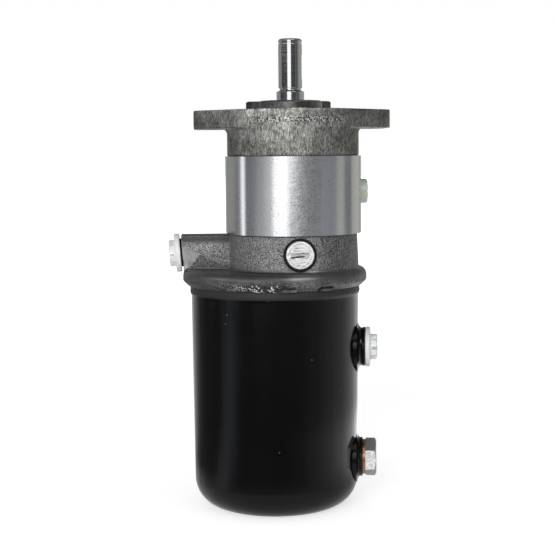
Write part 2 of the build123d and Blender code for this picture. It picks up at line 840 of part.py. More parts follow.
def filter_element():
    """Pleated paper ring."""
    high = plate_top() - plate_thickness
    outline = []
    for number in range(filter_pleats):
        for radius, part in ((filter_radius, 0.0), (filter_radius - filter_pleat_depth, 0.5)):
            angle = 2 * pi * (number + part) / filter_pleats
            outline.append((radius * cos(angle), radius * sin(angle)))
    star = make_face(Polyline(*outline, close=True)) - Circle(filter_bore)
    return can_centre * slab(star, high - filter_height, high)


def filter_bottom_plate():
    """Pressed disc that closes the lower end of the filter and seats the spring."""
    high = plate_top() - plate_thickness - filter_height
    low = high - plate_thickness
    inner = can_bolt_radius + body_gap
    cup = filter_spring_radius - 2 * filter_spring_wire
    return can_centre * turned(
        (inner, high), (plate_radius - plate_thickness, high),
        (plate_radius - plate_thickness, high + plate_rim),
        (plate_radius, high + plate_rim), (plate_radius, low), (cup, low), (cup, low - plate_rim / 2),
        (cup - plate_thickness, low - plate_rim / 2), (cup - plate_thickness, low), (inner, low),
    )


def filter_spring():
    """Spring that holds the filter up against the hub."""
    high = plate_top() - 2 * plate_thickness - filter_height - body_gap
    low = z_dimple + can_wall
    return can_centre * coil(filter_spring_radius, filter_spring_wire, low, high, filter_spring_turns)


def can_bolt():
    """Long bolt from the raised centre of the can up into the cover's hub."""
    seat = z_dimple - can_washer_thickness
    head = Pos(0, 0, seat) * Rot(180, 0, 0) * hex_head(can_bolt_flats, can_bolt_head)
    return can_centre * (head + rod(can_bolt_radius, seat, z_rim + can_bolt_grip - 2))


def can_bolt_washer():
    """Sealing washer between the bolt head and the can."""
    return can_centre * hollow_rod(
        can_washer_radius, can_bolt_radius + seat_fit, z_dimple - can_washer_thickness, z_dimple
    )


def bush(low, high, y):
    """Plain bush in a bearing block."""
    return hollow_rod(bush_outer, journal_radius + running_fit, low, high, 0, y)


front_low = z_front - block_height
rear_high = z_gear_low - end_play
rear_low = z_rear

save("mounting_flange", mounting_flange())
save("pump_body", pump_body())
save("rear_cover", rear_cover())
save("reservoir_can", reservoir_can())
save("return_port_collar", port_collar(return_port, return_skin, return_reach, return_thread_radius))
save("drain_port_collar", port_collar(drain_port, drain_skin, drain_reach, drain_thread_radius))
save("drive_shaft", drive_shaft())
save("idler_gear", idler_gear())
save("front_bearing_block", bearing_block(front_low, z_front, z_front))
save("rear_bearing_block", bearing_block(rear_low, rear_high, rear_low))
save("drive_front_bush", bush(front_low, z_front - 1, 0))
save("idler_front_bush", bush(front_low, z_front - 1, idler_y))
save("drive_rear_bush", bush(rear_low + 1, rear_high, 0))
save("idler_rear_bush", bush(rear_low + 1, rear_high, idler_y))
save("front_body_seal", slab(seal_track(), z_front, z_front + body_seal_height))
save("rear_body_seal", slab(seal_track(), z_rear - body_seal_height, z_rear))
save("front_pressure_seal", slab(pressure_track(), z_front - pressure_seal_height, z_front))
save("rear_pressure_seal", slab(pressure_track(), z_rear, z_rear + pressure_seal_height))
save("shaft_seal", shaft_seal())
save("seal_circlip", seal_circlip())
save("locating_dowels", locating_dowels())
save("body_bolts", body_bolts())
save("bolt_washers", bolt_washers())
save("relief_plug", relief_plug())
save("relief_plug_ring", relief_plug_ring())
save("relief_seat", relief_seat())
save("relief_piston", relief_piston())
save("relief_spring", relief_spring())
save("rim_seal", rim_seal())
inlet_stem = inlet_port_radius - body_gap
seal_face = inlet_seal_thickness
save("inlet_cap", transport_cap(inlet_port, seal_face, inlet_cap_flange, inlet_cap_knob, inlet_stem))
save("inlet_seal", inlet_seal())
return_stem = return_thread_radius - body_gap
save("return_cap", transport_cap(return_port, return_reach, return_cap_flange, return_cap_knob, return_stem))
outlet_stem = outlet_port_radius - body_gap
save("outlet_cap", transport_cap(outlet_port, 0, outlet_cap_flange, outlet_cap_knob, outlet_stem))
save("drain_plug", drain_plug())
save("drain_washer", drain_washer())
save("filter_top_plate", filter_top_plate())
save("filter_element", filter_element())
save("filter_bottom_plate", filter_bottom_plate())
save("filter_spring", filter_spring())
save("can_bolt", can_bolt())
save("can_bolt_washer", can_bolt_washer())
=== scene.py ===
import json
from math import cos, pi, radians, sin

import bmesh
import bpy
from bpy.props import FloatProperty, FloatVectorProperty, IntProperty, PointerProperty
from mathutils import Matrix, Vector


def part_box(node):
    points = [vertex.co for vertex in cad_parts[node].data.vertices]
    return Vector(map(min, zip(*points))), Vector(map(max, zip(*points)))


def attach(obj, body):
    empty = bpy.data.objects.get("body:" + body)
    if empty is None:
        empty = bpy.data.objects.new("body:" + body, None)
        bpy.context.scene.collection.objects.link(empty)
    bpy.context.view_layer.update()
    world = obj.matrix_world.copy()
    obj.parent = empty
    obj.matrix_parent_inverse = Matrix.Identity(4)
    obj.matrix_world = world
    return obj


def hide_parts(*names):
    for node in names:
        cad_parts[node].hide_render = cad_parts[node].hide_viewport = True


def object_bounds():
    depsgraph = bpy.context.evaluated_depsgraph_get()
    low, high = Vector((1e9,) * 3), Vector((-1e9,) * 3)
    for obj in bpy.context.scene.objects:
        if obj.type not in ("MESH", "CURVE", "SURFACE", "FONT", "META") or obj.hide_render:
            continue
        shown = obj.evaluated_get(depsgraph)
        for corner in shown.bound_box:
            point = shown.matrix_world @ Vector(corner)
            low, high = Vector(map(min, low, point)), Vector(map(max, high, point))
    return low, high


bl_info = {
    "name": "Power steering pump",
    "version": (1, 0, 0),
    "blender": (4, 5, 0),
    "location": "3D View > Sidebar > Pump",
    "description": "Dresses the packed power steering pump: castings, can, shaft, caps, plugs and studio",
    "category": "Object",
}

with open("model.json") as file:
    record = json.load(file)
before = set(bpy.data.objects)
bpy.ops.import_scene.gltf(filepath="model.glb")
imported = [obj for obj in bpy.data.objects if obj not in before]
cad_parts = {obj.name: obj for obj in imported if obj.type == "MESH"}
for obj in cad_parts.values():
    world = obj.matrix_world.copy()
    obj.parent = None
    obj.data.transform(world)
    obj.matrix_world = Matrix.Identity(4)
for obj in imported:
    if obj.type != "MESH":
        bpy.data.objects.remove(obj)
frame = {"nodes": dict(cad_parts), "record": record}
cad_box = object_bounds()
MM = 0.001
# Edges sharper than these are rounded, and shaded as edges
BEVEL_FROM = radians(22)
SHARP_FROM = radians(40)
# Edge widths in millimetres
SHAFT_EDGE = 0.15
BLACK_EDGE = 0.2
PLAIN_EDGE = 0.3
# How much coarser the cover is meshed than the flange, in millimetres
COVER_COARSER = 0.13


def middle(node):
    """Centre of a CAD node's box."""
    low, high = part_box(node)
    return (low + high) / 2


CAN_AXIS = Vector((middle("reservoir_can").x, middle("reservoir_can").y, 0))
RIM_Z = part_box("rear_cover")[0].z + 8 * MM
CAN_RADIUS = 55.55 * MM
RIM_CENTRE = CAN_AXIS + Vector((0, 0, RIM_Z))
# Flange: top of its neck, in metres, and its parting line, in millimetres
NECK_TOP = -12 * MM
PARTING_LEVEL = -6.8
# Notches in the cover's lip: angles about the can, then size and spot of the cut and of the floor, in millimetres
NOTCH_ANGLES = (4.0, 30.0)
NOTCH_CUT = ((10.2, 9.8, 6.0), (0.0, -61.0, 0.0))
NOTCH_FLOOR = ((10.2, 3.2, 1.7), (1.4, -57.3, 0.95))
# The can's rolled shoulder in millimetres: depth below the rim with how far it stands proud, and levels cut in
SHOULDER = ((0.0, 0.45), (3.4, 0.85), (4.2, 0.8), (5.2, 0.4), (6.4, 0.0))
SHOULDER_CUTS = (0.0, 1.0, 2.0, 3.0, 3.4, 3.8, 4.2, 4.7, 5.2, 5.8, 6.4, 7.5)
SHOULDER_END = 8.7
PLUG_TURN = radians(5)
PORT_TURN = radians(9)


def axis_frame(origin, outward, sideways):
    """Matrix that takes Z to a direction and X to another one square to it."""
    z_axis = Vector(outward).normalized()
    x_axis = Vector(sideways).normalized()
    turn = Matrix((x_axis, z_axis.cross(x_axis), z_axis)).transposed().to_4x4()
    return Matrix.Translation(origin) @ turn


RELIEF_FRAME = axis_frame(middle("relief_plug_ring"), (0, -1, 0), (1, 0, 0))
PLUG_FACE = middle("relief_plug_ring").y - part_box("relief_plug")[0].y
# The outlet cap's knob, in millimetres
KNOB_HEIGHT = 7.2
KNOB_RADIUS = 7.95
KNOB_RECESS = 4.5
CAP_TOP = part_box("outlet_cap")[1].x
OUTLET_FRAME = axis_frame(
    (CAP_TOP - KNOB_HEIGHT * MM, middle("outlet_cap").y, middle("outlet_cap").z), (1, 0, 0), (0, 1, 0)
)
DRAIN_FRAME = axis_frame(
    (CAN_AXIS.x, CAN_AXIS.y, middle("drain_port_collar").z), (cos(PORT_TURN), -sin(PORT_TURN), 0), (0, 0, 1)
)
INLET_SPOT = Vector((CAN_AXIS.x - 61.2 * MM, -14.5 * MM, -93 * MM))
GROUND_POINT = INLET_SPOT + Vector((-0.8, -14.9, 5.0)) * MM
GROUND_TIP = INLET_SPOT + Vector((11.9, -15.0, -0.5)) * MM
GROUND_FOOT = INLET_SPOT + Vector((1.9, -5.0, -13.0)) * MM
GROUND_NORMAL = (GROUND_FOOT - GROUND_POINT).cross(GROUND_TIP - GROUND_POINT).normalized()
GROUND_ACROSS = (GROUND_TIP - GROUND_FOOT).cross(GROUND_NORMAL).normalized()
if (GROUND_POINT - GROUND_TIP).dot(GROUND_ACROSS) > 0:
    GROUND_ACROSS.negate()


# Mesh helpers


def cad_copy(node, flat_angle=0.4):
    """Merged copy of a CAD node's mesh, with flat neighbours joined."""
    bm = bmesh.new()
    bm.from_mesh(frame["nodes"][node].data)
    bmesh.ops.remove_doubles(bm, verts=bm.verts, dist=2e-6)
    if flat_angle:
        bmesh.ops.dissolve_limit(
            bm, angle_limit=radians(flat_angle), verts=bm.verts, edges=bm.edges, use_dissolve_boundaries=False
        )
    return bm


def lathe(outline, steps):
    """Mesh spun about Z from a closed outline of radius and height in millimetres."""
    bm = bmesh.new()
    verts = [bm.verts.new((radius * MM, 0, height * MM)) for radius, height in outline]
    edges = [bm.edges.new(pair) for pair in zip(verts, verts[1:] + verts[:1])]
    bmesh.ops.spin(
        bm, geom=verts + edges, cent=(0, 0, 0), axis=(0, 0, 1), angle=2 * pi, steps=steps, use_merge=True
    )
    bmesh.ops.remove_doubles(bm, verts=bm.verts, dist=1e-7)
    bmesh.ops.recalc_face_normals(bm, faces=bm.faces)
    return bm


def arc(centre, radius, start, end, steps):
    """Points of an arc in radius and height, angles in degrees."""
    points = []
    for step in range(steps + 1):
        angle = radians(start + (end - start) * step / steps)
        points.append((centre[0] + radius * cos(angle), centre[1] + radius * sin(angle)))
    return points


def round_edges(bm, width, segments=2):
    """Bevel, its width in millimetres, of every edge that is sharp enough."""
    sharp = [e for e in bm.edges if e.is_manifold and e.calc_face_angle(0) > BEVEL_FROM]
    bmesh.ops.bevel(
        bm, geom=sharp, offset=width * MM, offset_type="OFFSET", affect="EDGES", segments=segments,
        profile=0.5, material=-1, clamp_overlap=True, loop_slide=True,
    )
    return bm


def new_object(name, bm):
    """Object made from a mesh."""
    mesh = bpy.data.meshes.new(name)
    bm.to_mesh(mesh)
    bm.free()
    made = bpy.data.objects.new(name, mesh)
    bpy.context.scene.collection.objects.link(made)
    return made


def add_piece(name, bm, material, nodes, body="root", place=None):
    """Object made from a mesh, on its body, standing for its CAD nodes."""
    if place is not None:
        bmesh.ops.transform(bm, matrix=place, verts=bm.verts)
    piece = new_object(name, bm)
    piece.data.materials.append(material)
    piece.data.shade_smooth()
    piece.data.set_sharp_from_angle(angle=SHARP_FROM)
    even = piece.modifiers.new("even_normals", "WEIGHTED_NORMAL")
    even.keep_sharp = True
    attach(piece, body)
    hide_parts(*nodes)
    return piece


def dress(name, source, material, width, segments=2, body="root"):
    """Copy of a CAD part with its edges rounded."""
    add_piece(name, round_edges(cad_copy(source), width, segments), material, [source], body)


def apply_modifiers(piece):
    """Piece with its modifiers made part of its mesh."""
    graph = bpy.context.evaluated_depsgraph_get()
    mesh = bpy.data.meshes.new_from_object(piece.evaluated_get(graph))
    piece.modifiers.clear()
    piece.data = mesh
    return piece


def cast_copy(name, source, material, voxel):
    """Casting made from a CAD part: remeshed, its edges softened by smoothing."""
    piece = add_piece(name, cad_copy(source, flat_angle=0), material, [source])
    piece.modifiers.clear()
    remesh = piece.modifiers.new("remesh", "REMESH")
    remesh.mode = "VOXEL"
    remesh.voxel_size = voxel * MM
    remesh.use_smooth_shade = True
    soften = piece.modifiers.new("soften", "SMOOTH")
    soften.factor = 0.5
    soften.iterations = 2
    apply_modifiers(piece)
    piece.data.materials.clear()
    piece.data.materials.append(material)
    piece.data.shade_smooth()
    return piece


# Material helpers


def link(start, end):
    """Link from an output socket to an input socket."""
    start.id_data.links.new(start, end)


def feed(socket, term):
    """Links an output socket to an input, or sets it to a number or, from a tuple, a colour."""
    if isinstance(term, bpy.types.NodeSocket):
        link(term, socket)
    else:
        socket.default_value = (*term, 1.0) if isinstance(term, tuple) else term


def node(tree, kind, values=None, **settings):
    """New node with its settings and its inputs' values or links."""
    made = tree.nodes.new(kind)
    for key, value in settings.items():
        setattr(made, key, value)
    for key, value in (values or {}).items():
        feed(made.inputs[key], value)
    return made


def math(operation, *terms, clamp=False):
    """Maths of numbers and output sockets, at least one of them a socket; gives its output socket."""
    tree = next(term.id_data for term in terms if isinstance(term, bpy.types.NodeSocket))
    return node(tree, "ShaderNodeMath", dict(enumerate(terms)), operation=operation, use_clamp=clamp).outputs[0]


def times(first, second):
    """Product of two terms."""
    return math("MULTIPLY", first, second)


def plus(first, second):
    """Sum of two terms."""
    return math("ADD", first, second)


def minus(first, second):
    """First term less the second."""
    return math("SUBTRACT", first, second)


def ramp(value, low, high, start=0.0, end=1.0):
    """Value mapped smoothly from one range to another."""
    values = {"Value": value, "From Min": low, "From Max": high, "To Min": start, "To Max": end}
    made = node(value.id_data, "ShaderNodeMapRange", values, interpolation_type="SMOOTHSTEP")
    return made.outputs["Result"]


def blend_colour(factor, first, second):
    """Colour mix of colours or output sockets."""
    return node(factor.id_data, "ShaderNodeMix", {0: factor, 6: first, 7: second}, data_type="RGBA").outputs[2]


def shaded(colour, factor):
    """Colour times a number."""
    return tuple(factor * part for part in colour)


def scaled(vector, factor):
    """Vector or colour socket times a number or socket."""
    return node(vector.id_data, "ShaderNodeVectorMath", {0: vector, "Scale": factor}, operation="SCALE").outputs[0]


def noise(vector, scale, detail, rough):
    """Noise texture's value."""
    values = {"Vector": vector, "Scale": scale, "Detail": detail, "Roughness": rough}
    return node(vector.id_data, "ShaderNodeTexNoise", values).outputs[0]


def parts_of(vector):
    """X, Y and Z sockets of a vector, or the three of a colour."""
    return tuple(node(vector.id_data, "ShaderNodeSeparateXYZ", {0: vector}).outputs)


def radius(x, y):
    """Distance from the Z axis."""
    return math("SQRT", plus(times(x, x), times(y, y)))


def new_group(name, **numbers):
    """Empty shader group with a Vector input and number inputs."""
    tree = bpy.data.node_groups.new(name, "ShaderNodeTree")
    tree.interface.new_socket("Vector", in_out="INPUT", socket_type="NodeSocketVector")
    for key, value in numbers.items():
        socket = tree.interface.new_socket(key, in_out="INPUT", socket_type="NodeSocketFloat")
        socket.default_value = value
    return tree, node(tree, "NodeGroupInput").outputs


def end_group(tree, **outputs):
    """Group with its outputs."""
    for key in outputs:
        tree.interface.new_socket(key, in_out="OUTPUT", socket_type="NodeSocketFloat")
    node(tree, "NodeGroupOutput", outputs)
    return tree


def cast_group():
    """Sand-cast skin: grain height, slow mottle and sparse pits."""
    tree, given = new_group("sand_cast", Grain=700.0)
    vector = scaled(given["Vector"], given["Grain"])
    mottle = ramp(noise(vector, 0.07, 4.0, 0.6), 0.3, 0.7)
    spots = ramp(noise(vector, 0.35, 2.0, 0.5), 0.66, 0.74)
    return end_group(tree, Height=noise(vector, 1.0, 5.0, 0.62), Mottle=mottle, Pits=spots)


def streak_group():
    """Fine marks drawn out along Z: height and shade."""
    tree, given = new_group("drawn_streaks", Fineness=900.0, Length=60.0)
    x, y, z = parts_of(given["Vector"])
    joined = node(tree, "ShaderNodeCombineXYZ", {0: x, 1: y, 2: math("DIVIDE", z, given["Length"])})
    vector = scaled(joined.outputs[0], given["Fineness"])
    fine = noise(vector, 1.0, 3.0, 0.6)
    shade = plus(times(fine, 0.4), times(noise(vector, 0.12, 2.0, 0.5), 0.6))
    return end_group(tree, Height=fine, Shade=ramp(shade, 0.35, 0.65))


def turned_group():
    """Lathe marks about Z: height and shade from the radius and level."""
    tree, given = new_group("turned_marks", Fineness=2500.0)
    x, y, z = parts_of(given["Vector"])
    joined = node(tree, "ShaderNodeCombineXYZ", {0: radius(x, y), 2: z})
    vector = scaled(joined.outputs[0], given["Fineness"])
    shade = ramp(noise(vector, 0.25, 2.0, 0.5), 0.3, 0.7)
    return end_group(tree, Height=noise(vector, 1.0, 2.0, 0.6), Shade=shade)


def dust_group():
    """Sparse small specks."""
    tree, given = new_group("dust_specks", Spacing=260.0, Size=0.09, Share=0.35)
    vector = scaled(given["Vector"], given["Spacing"])
    cells = node(tree, "ShaderNodeTexVoronoi", {"Vector": vector, "Scale": 1.0}).outputs
    near = math("LESS_THAN", cells["Distance"], given["Size"])
    chosen = math("LESS_THAN", parts_of(cells["Color"])[0], given["Share"])
    return end_group(tree, Mask=times(near, chosen))


def wear_group():
    """Rubbed outer edges, broken up by noise."""
    tree, given = new_group("edge_wear", Low=0.53, High=0.62)
    shape = node(tree, "ShaderNodeNewGeometry")
    wear_and_glint = ramp(shape.outputs["Pointiness"], given["Low"], given["High"])
    return end_group(tree, Mask=times(wear_and_glint, ramp(noise(given["Vector"], 400.0, 4.0, 0.6), 0.35, 0.6)))


GROUP_MAKERS = {
    "sand_cast": cast_group,
    "drawn_streaks": streak_group,
    "turned_marks": turned_group,
    "dust_specks": dust_group,
    "edge_wear": wear_group,
}


def use_group(name, vector, **values):
    """Outputs of a shared group, placed in the tree of a vector."""
    group = bpy.data.node_groups.get(name) or GROUP_MAKERS[name]()
    return node(vector.id_data, "ShaderNodeGroup", {"Vector": vector, **values}, node_tree=group).outputs


def new_finish(name, **constants):
    """Material with its shader's fixed values; gives material, shader and object coordinates."""
    material = bpy.data.materials.new(name)
    material.use_nodes = True
    tree = material.node_tree
    shader = tree.nodes["Principled BSDF"]
    for key, value in constants.items():
        shader.inputs[key.replace("_", " ")].default_value = value
    return material, shader, node(tree, "ShaderNodeTexCoord").outputs["Object"]


def complete(material, shader, base, roughness, height, depth):
    """Material with its colour, its roughness and its bump, whose depth is in millimetres."""
    values = {"Height": height, "Strength": 1.0, "Distance": depth * MM}
    bump = node(shader.id_data, "ShaderNodeBump", values)
    for key, term in (("Base Color", base), ("Roughness", roughness), ("Normal", bump.outputs[0])):
        link(term, shader.inputs[key])
    return material


def normals(vector):
    """Surface normal, in the tree of a vector."""
    return node(vector.id_data, "ShaderNodeNewGeometry").outputs["Normal"]


def centred(vector, place):
    """Object coordinates turned into a frame of the piece, so that Z is its axis."""
    spot, turn, _ = place.inverted().decompose()
    values = {"Vector": vector, "Location": spot, "Rotation": turn.to_euler()}
    return node(vector.id_data, "ShaderNodeMapping", values, vector_type="POINT").outputs[0]


def along(vector, direction, start):
    """Distance of each point from a start point, measured along a direction."""
    made = node(vector.id_data, "ShaderNodeVectorMath", {0: vector, 1: direction}, operation="DOT_PRODUCT")
    return minus(made.outputs["Value"], direction.dot(start))


def inside_edge(place):
    """Mask of the boss's ground corner up to its ragged inner edge."""
    ragged = times(noise(place, 330.0, 2.0, 0.5), 3.5 * MM)
    side = plus(along(place, GROUND_ACROSS, GROUND_TIP), ragged)
    left = ramp(parts_of(place)[0], GROUND_TIP.x, GROUND_TIP.x + 2 * MM, 1.0, 0.0)
    return times(ramp(side, 1.5 * MM, 1.9 * MM, 1.0, 0.0), left)


def near_level(value, centre, inner, outer):
    """Mask that is 1 near a level and fades to 0 away from it, in millimetres."""
    return ramp(math("ABSOLUTE", minus(value, centre * MM)), inner * MM, outer * MM, 1.0, 0.0)


def grained_base(place, dark, light, grain, contrast):
    """Cast colour of faint mottle and fine grain, with the skin's outputs."""
    skin = use_group("sand_cast", place, Grain=grain)
    base = blend_colour(skin["Mottle"], dark, light)
    return scaled(base, ramp(skin["Height"], 0.4, 0.6, 1.0 - contrast, 1.0 + contrast)), skin


def flange_finish(name, dark, light):
    """Rough-ground iron: upright strokes, a speckled parting line and a machined mounting face, with painted shade
    on the right side, the left ear and the neck's sides, and a painted highlight on the plate.
    """
    material, shader, place = new_finish(name, Metallic=0.8)
    base, skin = grained_base(place, dark, light, 1450.0, 0.34)
    strokes = use_group("drawn_streaks", place, Fineness=1450.0, Length=4.0)
    base = scaled(base, ramp(strokes["Height"], 0.36, 0.64, 0.46, 1.6))
    x, y, z = parts_of(place)
    # Painted shade: darker towards the right side and on the left ear.
    base = scaled(base, ramp(x, 0.012, 0.045, 1.0, 0.6))
    base = scaled(base, ramp(x, -0.056, -0.03, 0.66, 1.0))
    neck = ramp(z, NECK_TOP - 0.5 * MM, NECK_TOP + 0.5 * MM, 1.0, 0.0)
    # Painted highlight: a lighter upright band on the plate, left of the middle.
    painted_shine = times(ramp(x, -0.037, -0.028, 1.0, 1.5), ramp(x, -0.021, -0.015, 1.0, 0.667))
    base = blend_colour(neck, scaled(base, painted_shine), base)
    # Painted shade: the neck darkened towards its left and right sides, where its round turns away.
    painted_side_shade = times(ramp(x, 0.004, 0.014, 1.0, 0.7), ramp(x, -0.04, -0.028, 0.66, 1.0))
    base = blend_colour(neck, base, scaled(base, painted_side_shade))
    front = ramp(y, -0.058, -0.05, 1.0, 0.0)
    line = times(near_level(z, PARTING_LEVEL, 1.2, 2.9), front)
    chips = noise(place, 1050.0, 2.0, 0.5)
    patchy = ramp(noise(place, 130.0, 2.0, 0.5), 0.22, 0.38)
    line = times(line, patchy)
    holes = times(line, ramp(chips, 0.53, 0.57))
    glints = times(line, ramp(chips, 0.46, 0.4))
    base = blend_colour(times(holes, 0.92), base, (0.02, 0.02, 0.018))
    base = blend_colour(times(glints, 0.8), base, (0.78, 0.78, 0.74))
    face = times(ramp(parts_of(normals(place))[2], 0.8, 0.95), near_level(z, 0.0, 0.8, 1.2))
    marks = use_group("turned_marks", place, Fineness=1800.0)
    milled = blend_colour(marks["Shade"], (0.3, 0.3, 0.29), (0.44, 0.44, 0.42))
    base = blend_colour(face, base, milled)
    wear = use_group("edge_wear", place)
    base = blend_colour(times(wear["Mask"], 0.3), base, (0.6, 0.6, 0.57))
    rough = ramp(skin["Mottle"], 0.0, 1.0, 0.5, 0.4)
    roughness = minus(rough, times(face, 0.12))
    height = plus(times(skin["Height"], 0.5), times(strokes["Height"], 0.6))
    height = minus(height, times(holes, 1.2))
    return complete(material, shader, base, roughness, height, 0.16)


def cover_finish(name, dark, light):
    """Sand-cast skin, smoother and darker on the round flange, with painted light and shade along the flange and the
    wall, painted shade on upward faces of the wall, painted glints on the lip, a painted lighter band beside the
    ground corner, and the boss's corner ground bright.
    """
    material, shader, place = new_finish(name)
    x, _, z = parts_of(place)
    wall = ramp(z, RIM_Z + 11 * MM, RIM_Z + 15 * MM)
    tilt = parts_of(normals(place))[2]
    rolled = ramp(tilt, -0.1, 0.25)
    smooth = times(rolled, ramp(wall, 0.0, 1.0, 1.0, 0.0))
    base, skin = grained_base(place, dark, light, 1600.0, 0.84)
    base = blend_colour(smooth, base, blend_colour(skin["Mottle"], dark, light))
    # Painted light and shade on the round flange: lighter at the far left and in a narrow band just right of the
    # middle, where a highlight falls, and darker between and beyond.
    flange = times(ramp(x, -0.012, 0.002, 0.3, 0.62), ramp(x, 0.006, 0.016, 1.0, 0.66))
    flange = times(flange, ramp(x, -0.04, -0.03, 1.4, 1.0))
    # Painted shade: the wall darker towards the right.
    upper_painted_shade = ramp(x, 0.006, 0.022, 0.92, 0.46)
    base = blend_colour(wall, scaled(base, flange), scaled(base, upper_painted_shade))
    # Painted glints: white specks made matt, mostly on the lower lip at the left and thinly elsewhere.
    sparkle = use_group("dust_specks", place, Spacing=850.0, Size=0.5, Share=0.46)
    lip = times(ramp(x, -0.055, -0.02), ramp(x, -0.008, -0.018))
    lip = times(lip, times(ramp(tilt, 0.0, -0.2), minus(1.0, wall)))
    rest = minus(0.1, times(smooth, 0.1))
    glints = times(sparkle["Mask"], plus(times(lip, 0.9), rest))
    base = blend_colour(glints, base, (1.0, 1.0, 0.98))
    link(ramp(glints, 0.0, 1.0, 0.7, 0.1), shader.inputs["Metallic"])
    # Painted shade: the wall's upward faces darkened.
    top = times(ramp(tilt, 0.25, 0.75), wall)
    base = blend_colour(times(top, 0.8), base, shaded(dark, 0.55))
    flat = along(place, GROUND_NORMAL, GROUND_POINT)
    bevel = near_level(flat, 0.0, 0.2, 0.4)
    inside = inside_edge(place)
    # Painted light: the cast band beside the ground facet, which faces down, lightened.
    boss = ramp(x, -0.044, -0.04, 1.0, 0.0)
    cast = times(bevel, times(minus(1.0, inside), boss))
    base = blend_colour(cast, base, scaled(base, 1.4))
    ground = times(bevel, inside)
    scratches = use_group("drawn_streaks", place, Fineness=1500.0, Length=9.0)
    bare = blend_colour(scratches["Shade"], (0.56, 0.56, 0.54), (0.96, 0.96, 0.94))
    base = blend_colour(ground, base, bare)
    rough = ramp(skin["Mottle"], 0.0, 1.0, 0.54, 0.46)
    rough = minus(rough, times(smooth, 0.16))
    roughness = minus(rough, times(ground, 0.1))
    calm = minus(1.0, times(math("MAXIMUM", smooth, ground), 0.85))
    return complete(material, shader, base, roughness, times(skin["Height"], calm), 0.3)


def housing_finish(name, colour):
    """Drawn aluminium: fine upright lines, small bruises and a rubbed, pitted patch in front."""
    material, shader, place = new_finish(name, Metallic=1.0)
    lines = use_group("drawn_streaks", place, Fineness=1500.0, Length=90.0)
    skin = use_group("sand_cast", place, Grain=1350.0)
    x, y, _ = parts_of(place)
    front = ramp(y, -0.062, -0.05, 1.0, 0.0)
    patch = times(near_level(x, 4.0, 4.0, 14.0), front)
    wear_and_glint = ramp(noise(place, 160.0, 3.0, 0.6), 0.34, 0.6)
    patch = times(patch, wear_and_glint)
    dark = shaded(colour, 0.9)
    base = blend_colour(lines["Shade"], dark, colour)
    base = scaled(base, ramp(skin["Height"], 0.38, 0.62, 0.93, 1.06))
    dots = use_group("dust_specks", place, Spacing=210.0, Size=0.085, Share=0.22)["Mask"]
    base = blend_colour(times(dots, 0.75), base, (0.1, 0.1, 0.1))
    side = times(near_level(x, -14.5, 1.0, 4.0), front)
    pits = use_group("dust_specks", place, Spacing=1100.0, Size=0.42, Share=0.28)
    where = math("MAXIMUM", patch, times(side, wear_and_glint))
    pitted = times(pits["Mask"], times(where, 0.55))
    base = blend_colour(pitted, base, (0.2, 0.2, 0.2))
    rough = plus(ramp(lines["Shade"], 0.0, 1.0, 0.13, 0.17), times(patch, 0.05))
    roughness = rough
    height = times(skin["Height"], plus(times(patch, 2.2), 0.7))
    height = plus(height, times(lines["Height"], 0.25))
    height = minus(height, times(dots, 2.0))
    return complete(material, shader, base, roughness, height, 0.036)


def metal_finish(name, colour, rough, marks, place=None, fineness=2500.0, depth=0.004, spread=0.25, dirt=0.3):
    """Bare or plated metal with lathe or drawn marks, stains and specks."""
    material, shader, here = new_finish(name, Metallic=1.0)
    vector = centred(here, place) if place is not None else here
    lines = use_group(marks, vector, Fineness=fineness)
    stains = use_group("sand_cast", here, Grain=900.0)
    light = tuple(min(1.0, c * (1 + spread)) for c in colour)
    base = blend_colour(lines["Shade"], shaded(colour, 1 - spread), light)
    base = blend_colour(times(stains["Pits"], dirt), base, shaded(colour, 0.35))
    uneven = ramp(lines["Shade"], 0.0, 1.0, rough * 0.8, rough * 1.2)
    roughness = plus(uneven, times(stains["Mottle"], rough * 0.35))
    return complete(material, shader, base, roughness, lines["Height"], depth)


def plastic_finish(name, colour, rough, scatter):
    """Moulded plastic: slight bleed of light, flow marks, fine scuffs and a little grime."""
    material, shader, place = new_finish(name)
    shader.inputs["Subsurface Weight"].default_value = scatter
    shader.inputs["Subsurface Radius"].default_value = (1.0, 0.9, 0.75)
    shader.inputs["Subsurface Scale"].default_value = 2 * MM
    skin = use_group("sand_cast", place, Grain=260.0)
    specks = use_group("dust_specks", place, Spacing=520.0, Size=0.1, Share=0.1)
    base = blend_colour(skin["Mottle"], shaded(colour, 0.93), colour)
    base = blend_colour(times(specks["Mask"], 0.6), base, (0.5, 0.47, 0.4))
    roughness = ramp(skin["Height"], 0.2, 0.8, rough - 0.06, rough + 0.1)
    return complete(material, shader, base, roughness, skin["Height"], 0.03)


def rubber_finish(name, colour, rough):
    """Moulded rubber with bloom and lint."""
    material, shader, place = new_finish(name, Specular_IOR_Level=0.15)
    skin = use_group("sand_cast", place, Grain=600.0)
    lint = use_group("dust_specks", place, Spacing=700.0, Size=0.12, Share=0.2)
    base = blend_colour(skin["Mottle"], colour, shaded(colour, 1.8))
    base = blend_colour(times(lint["Mask"], 0.4), base, (0.2, 0.2, 0.2))
    roughness = ramp(skin["Height"], 0.2, 0.8, rough - 0.1, rough + 0.1)
    return complete(material, shader, base, roughness, skin["Height"], 0.015)


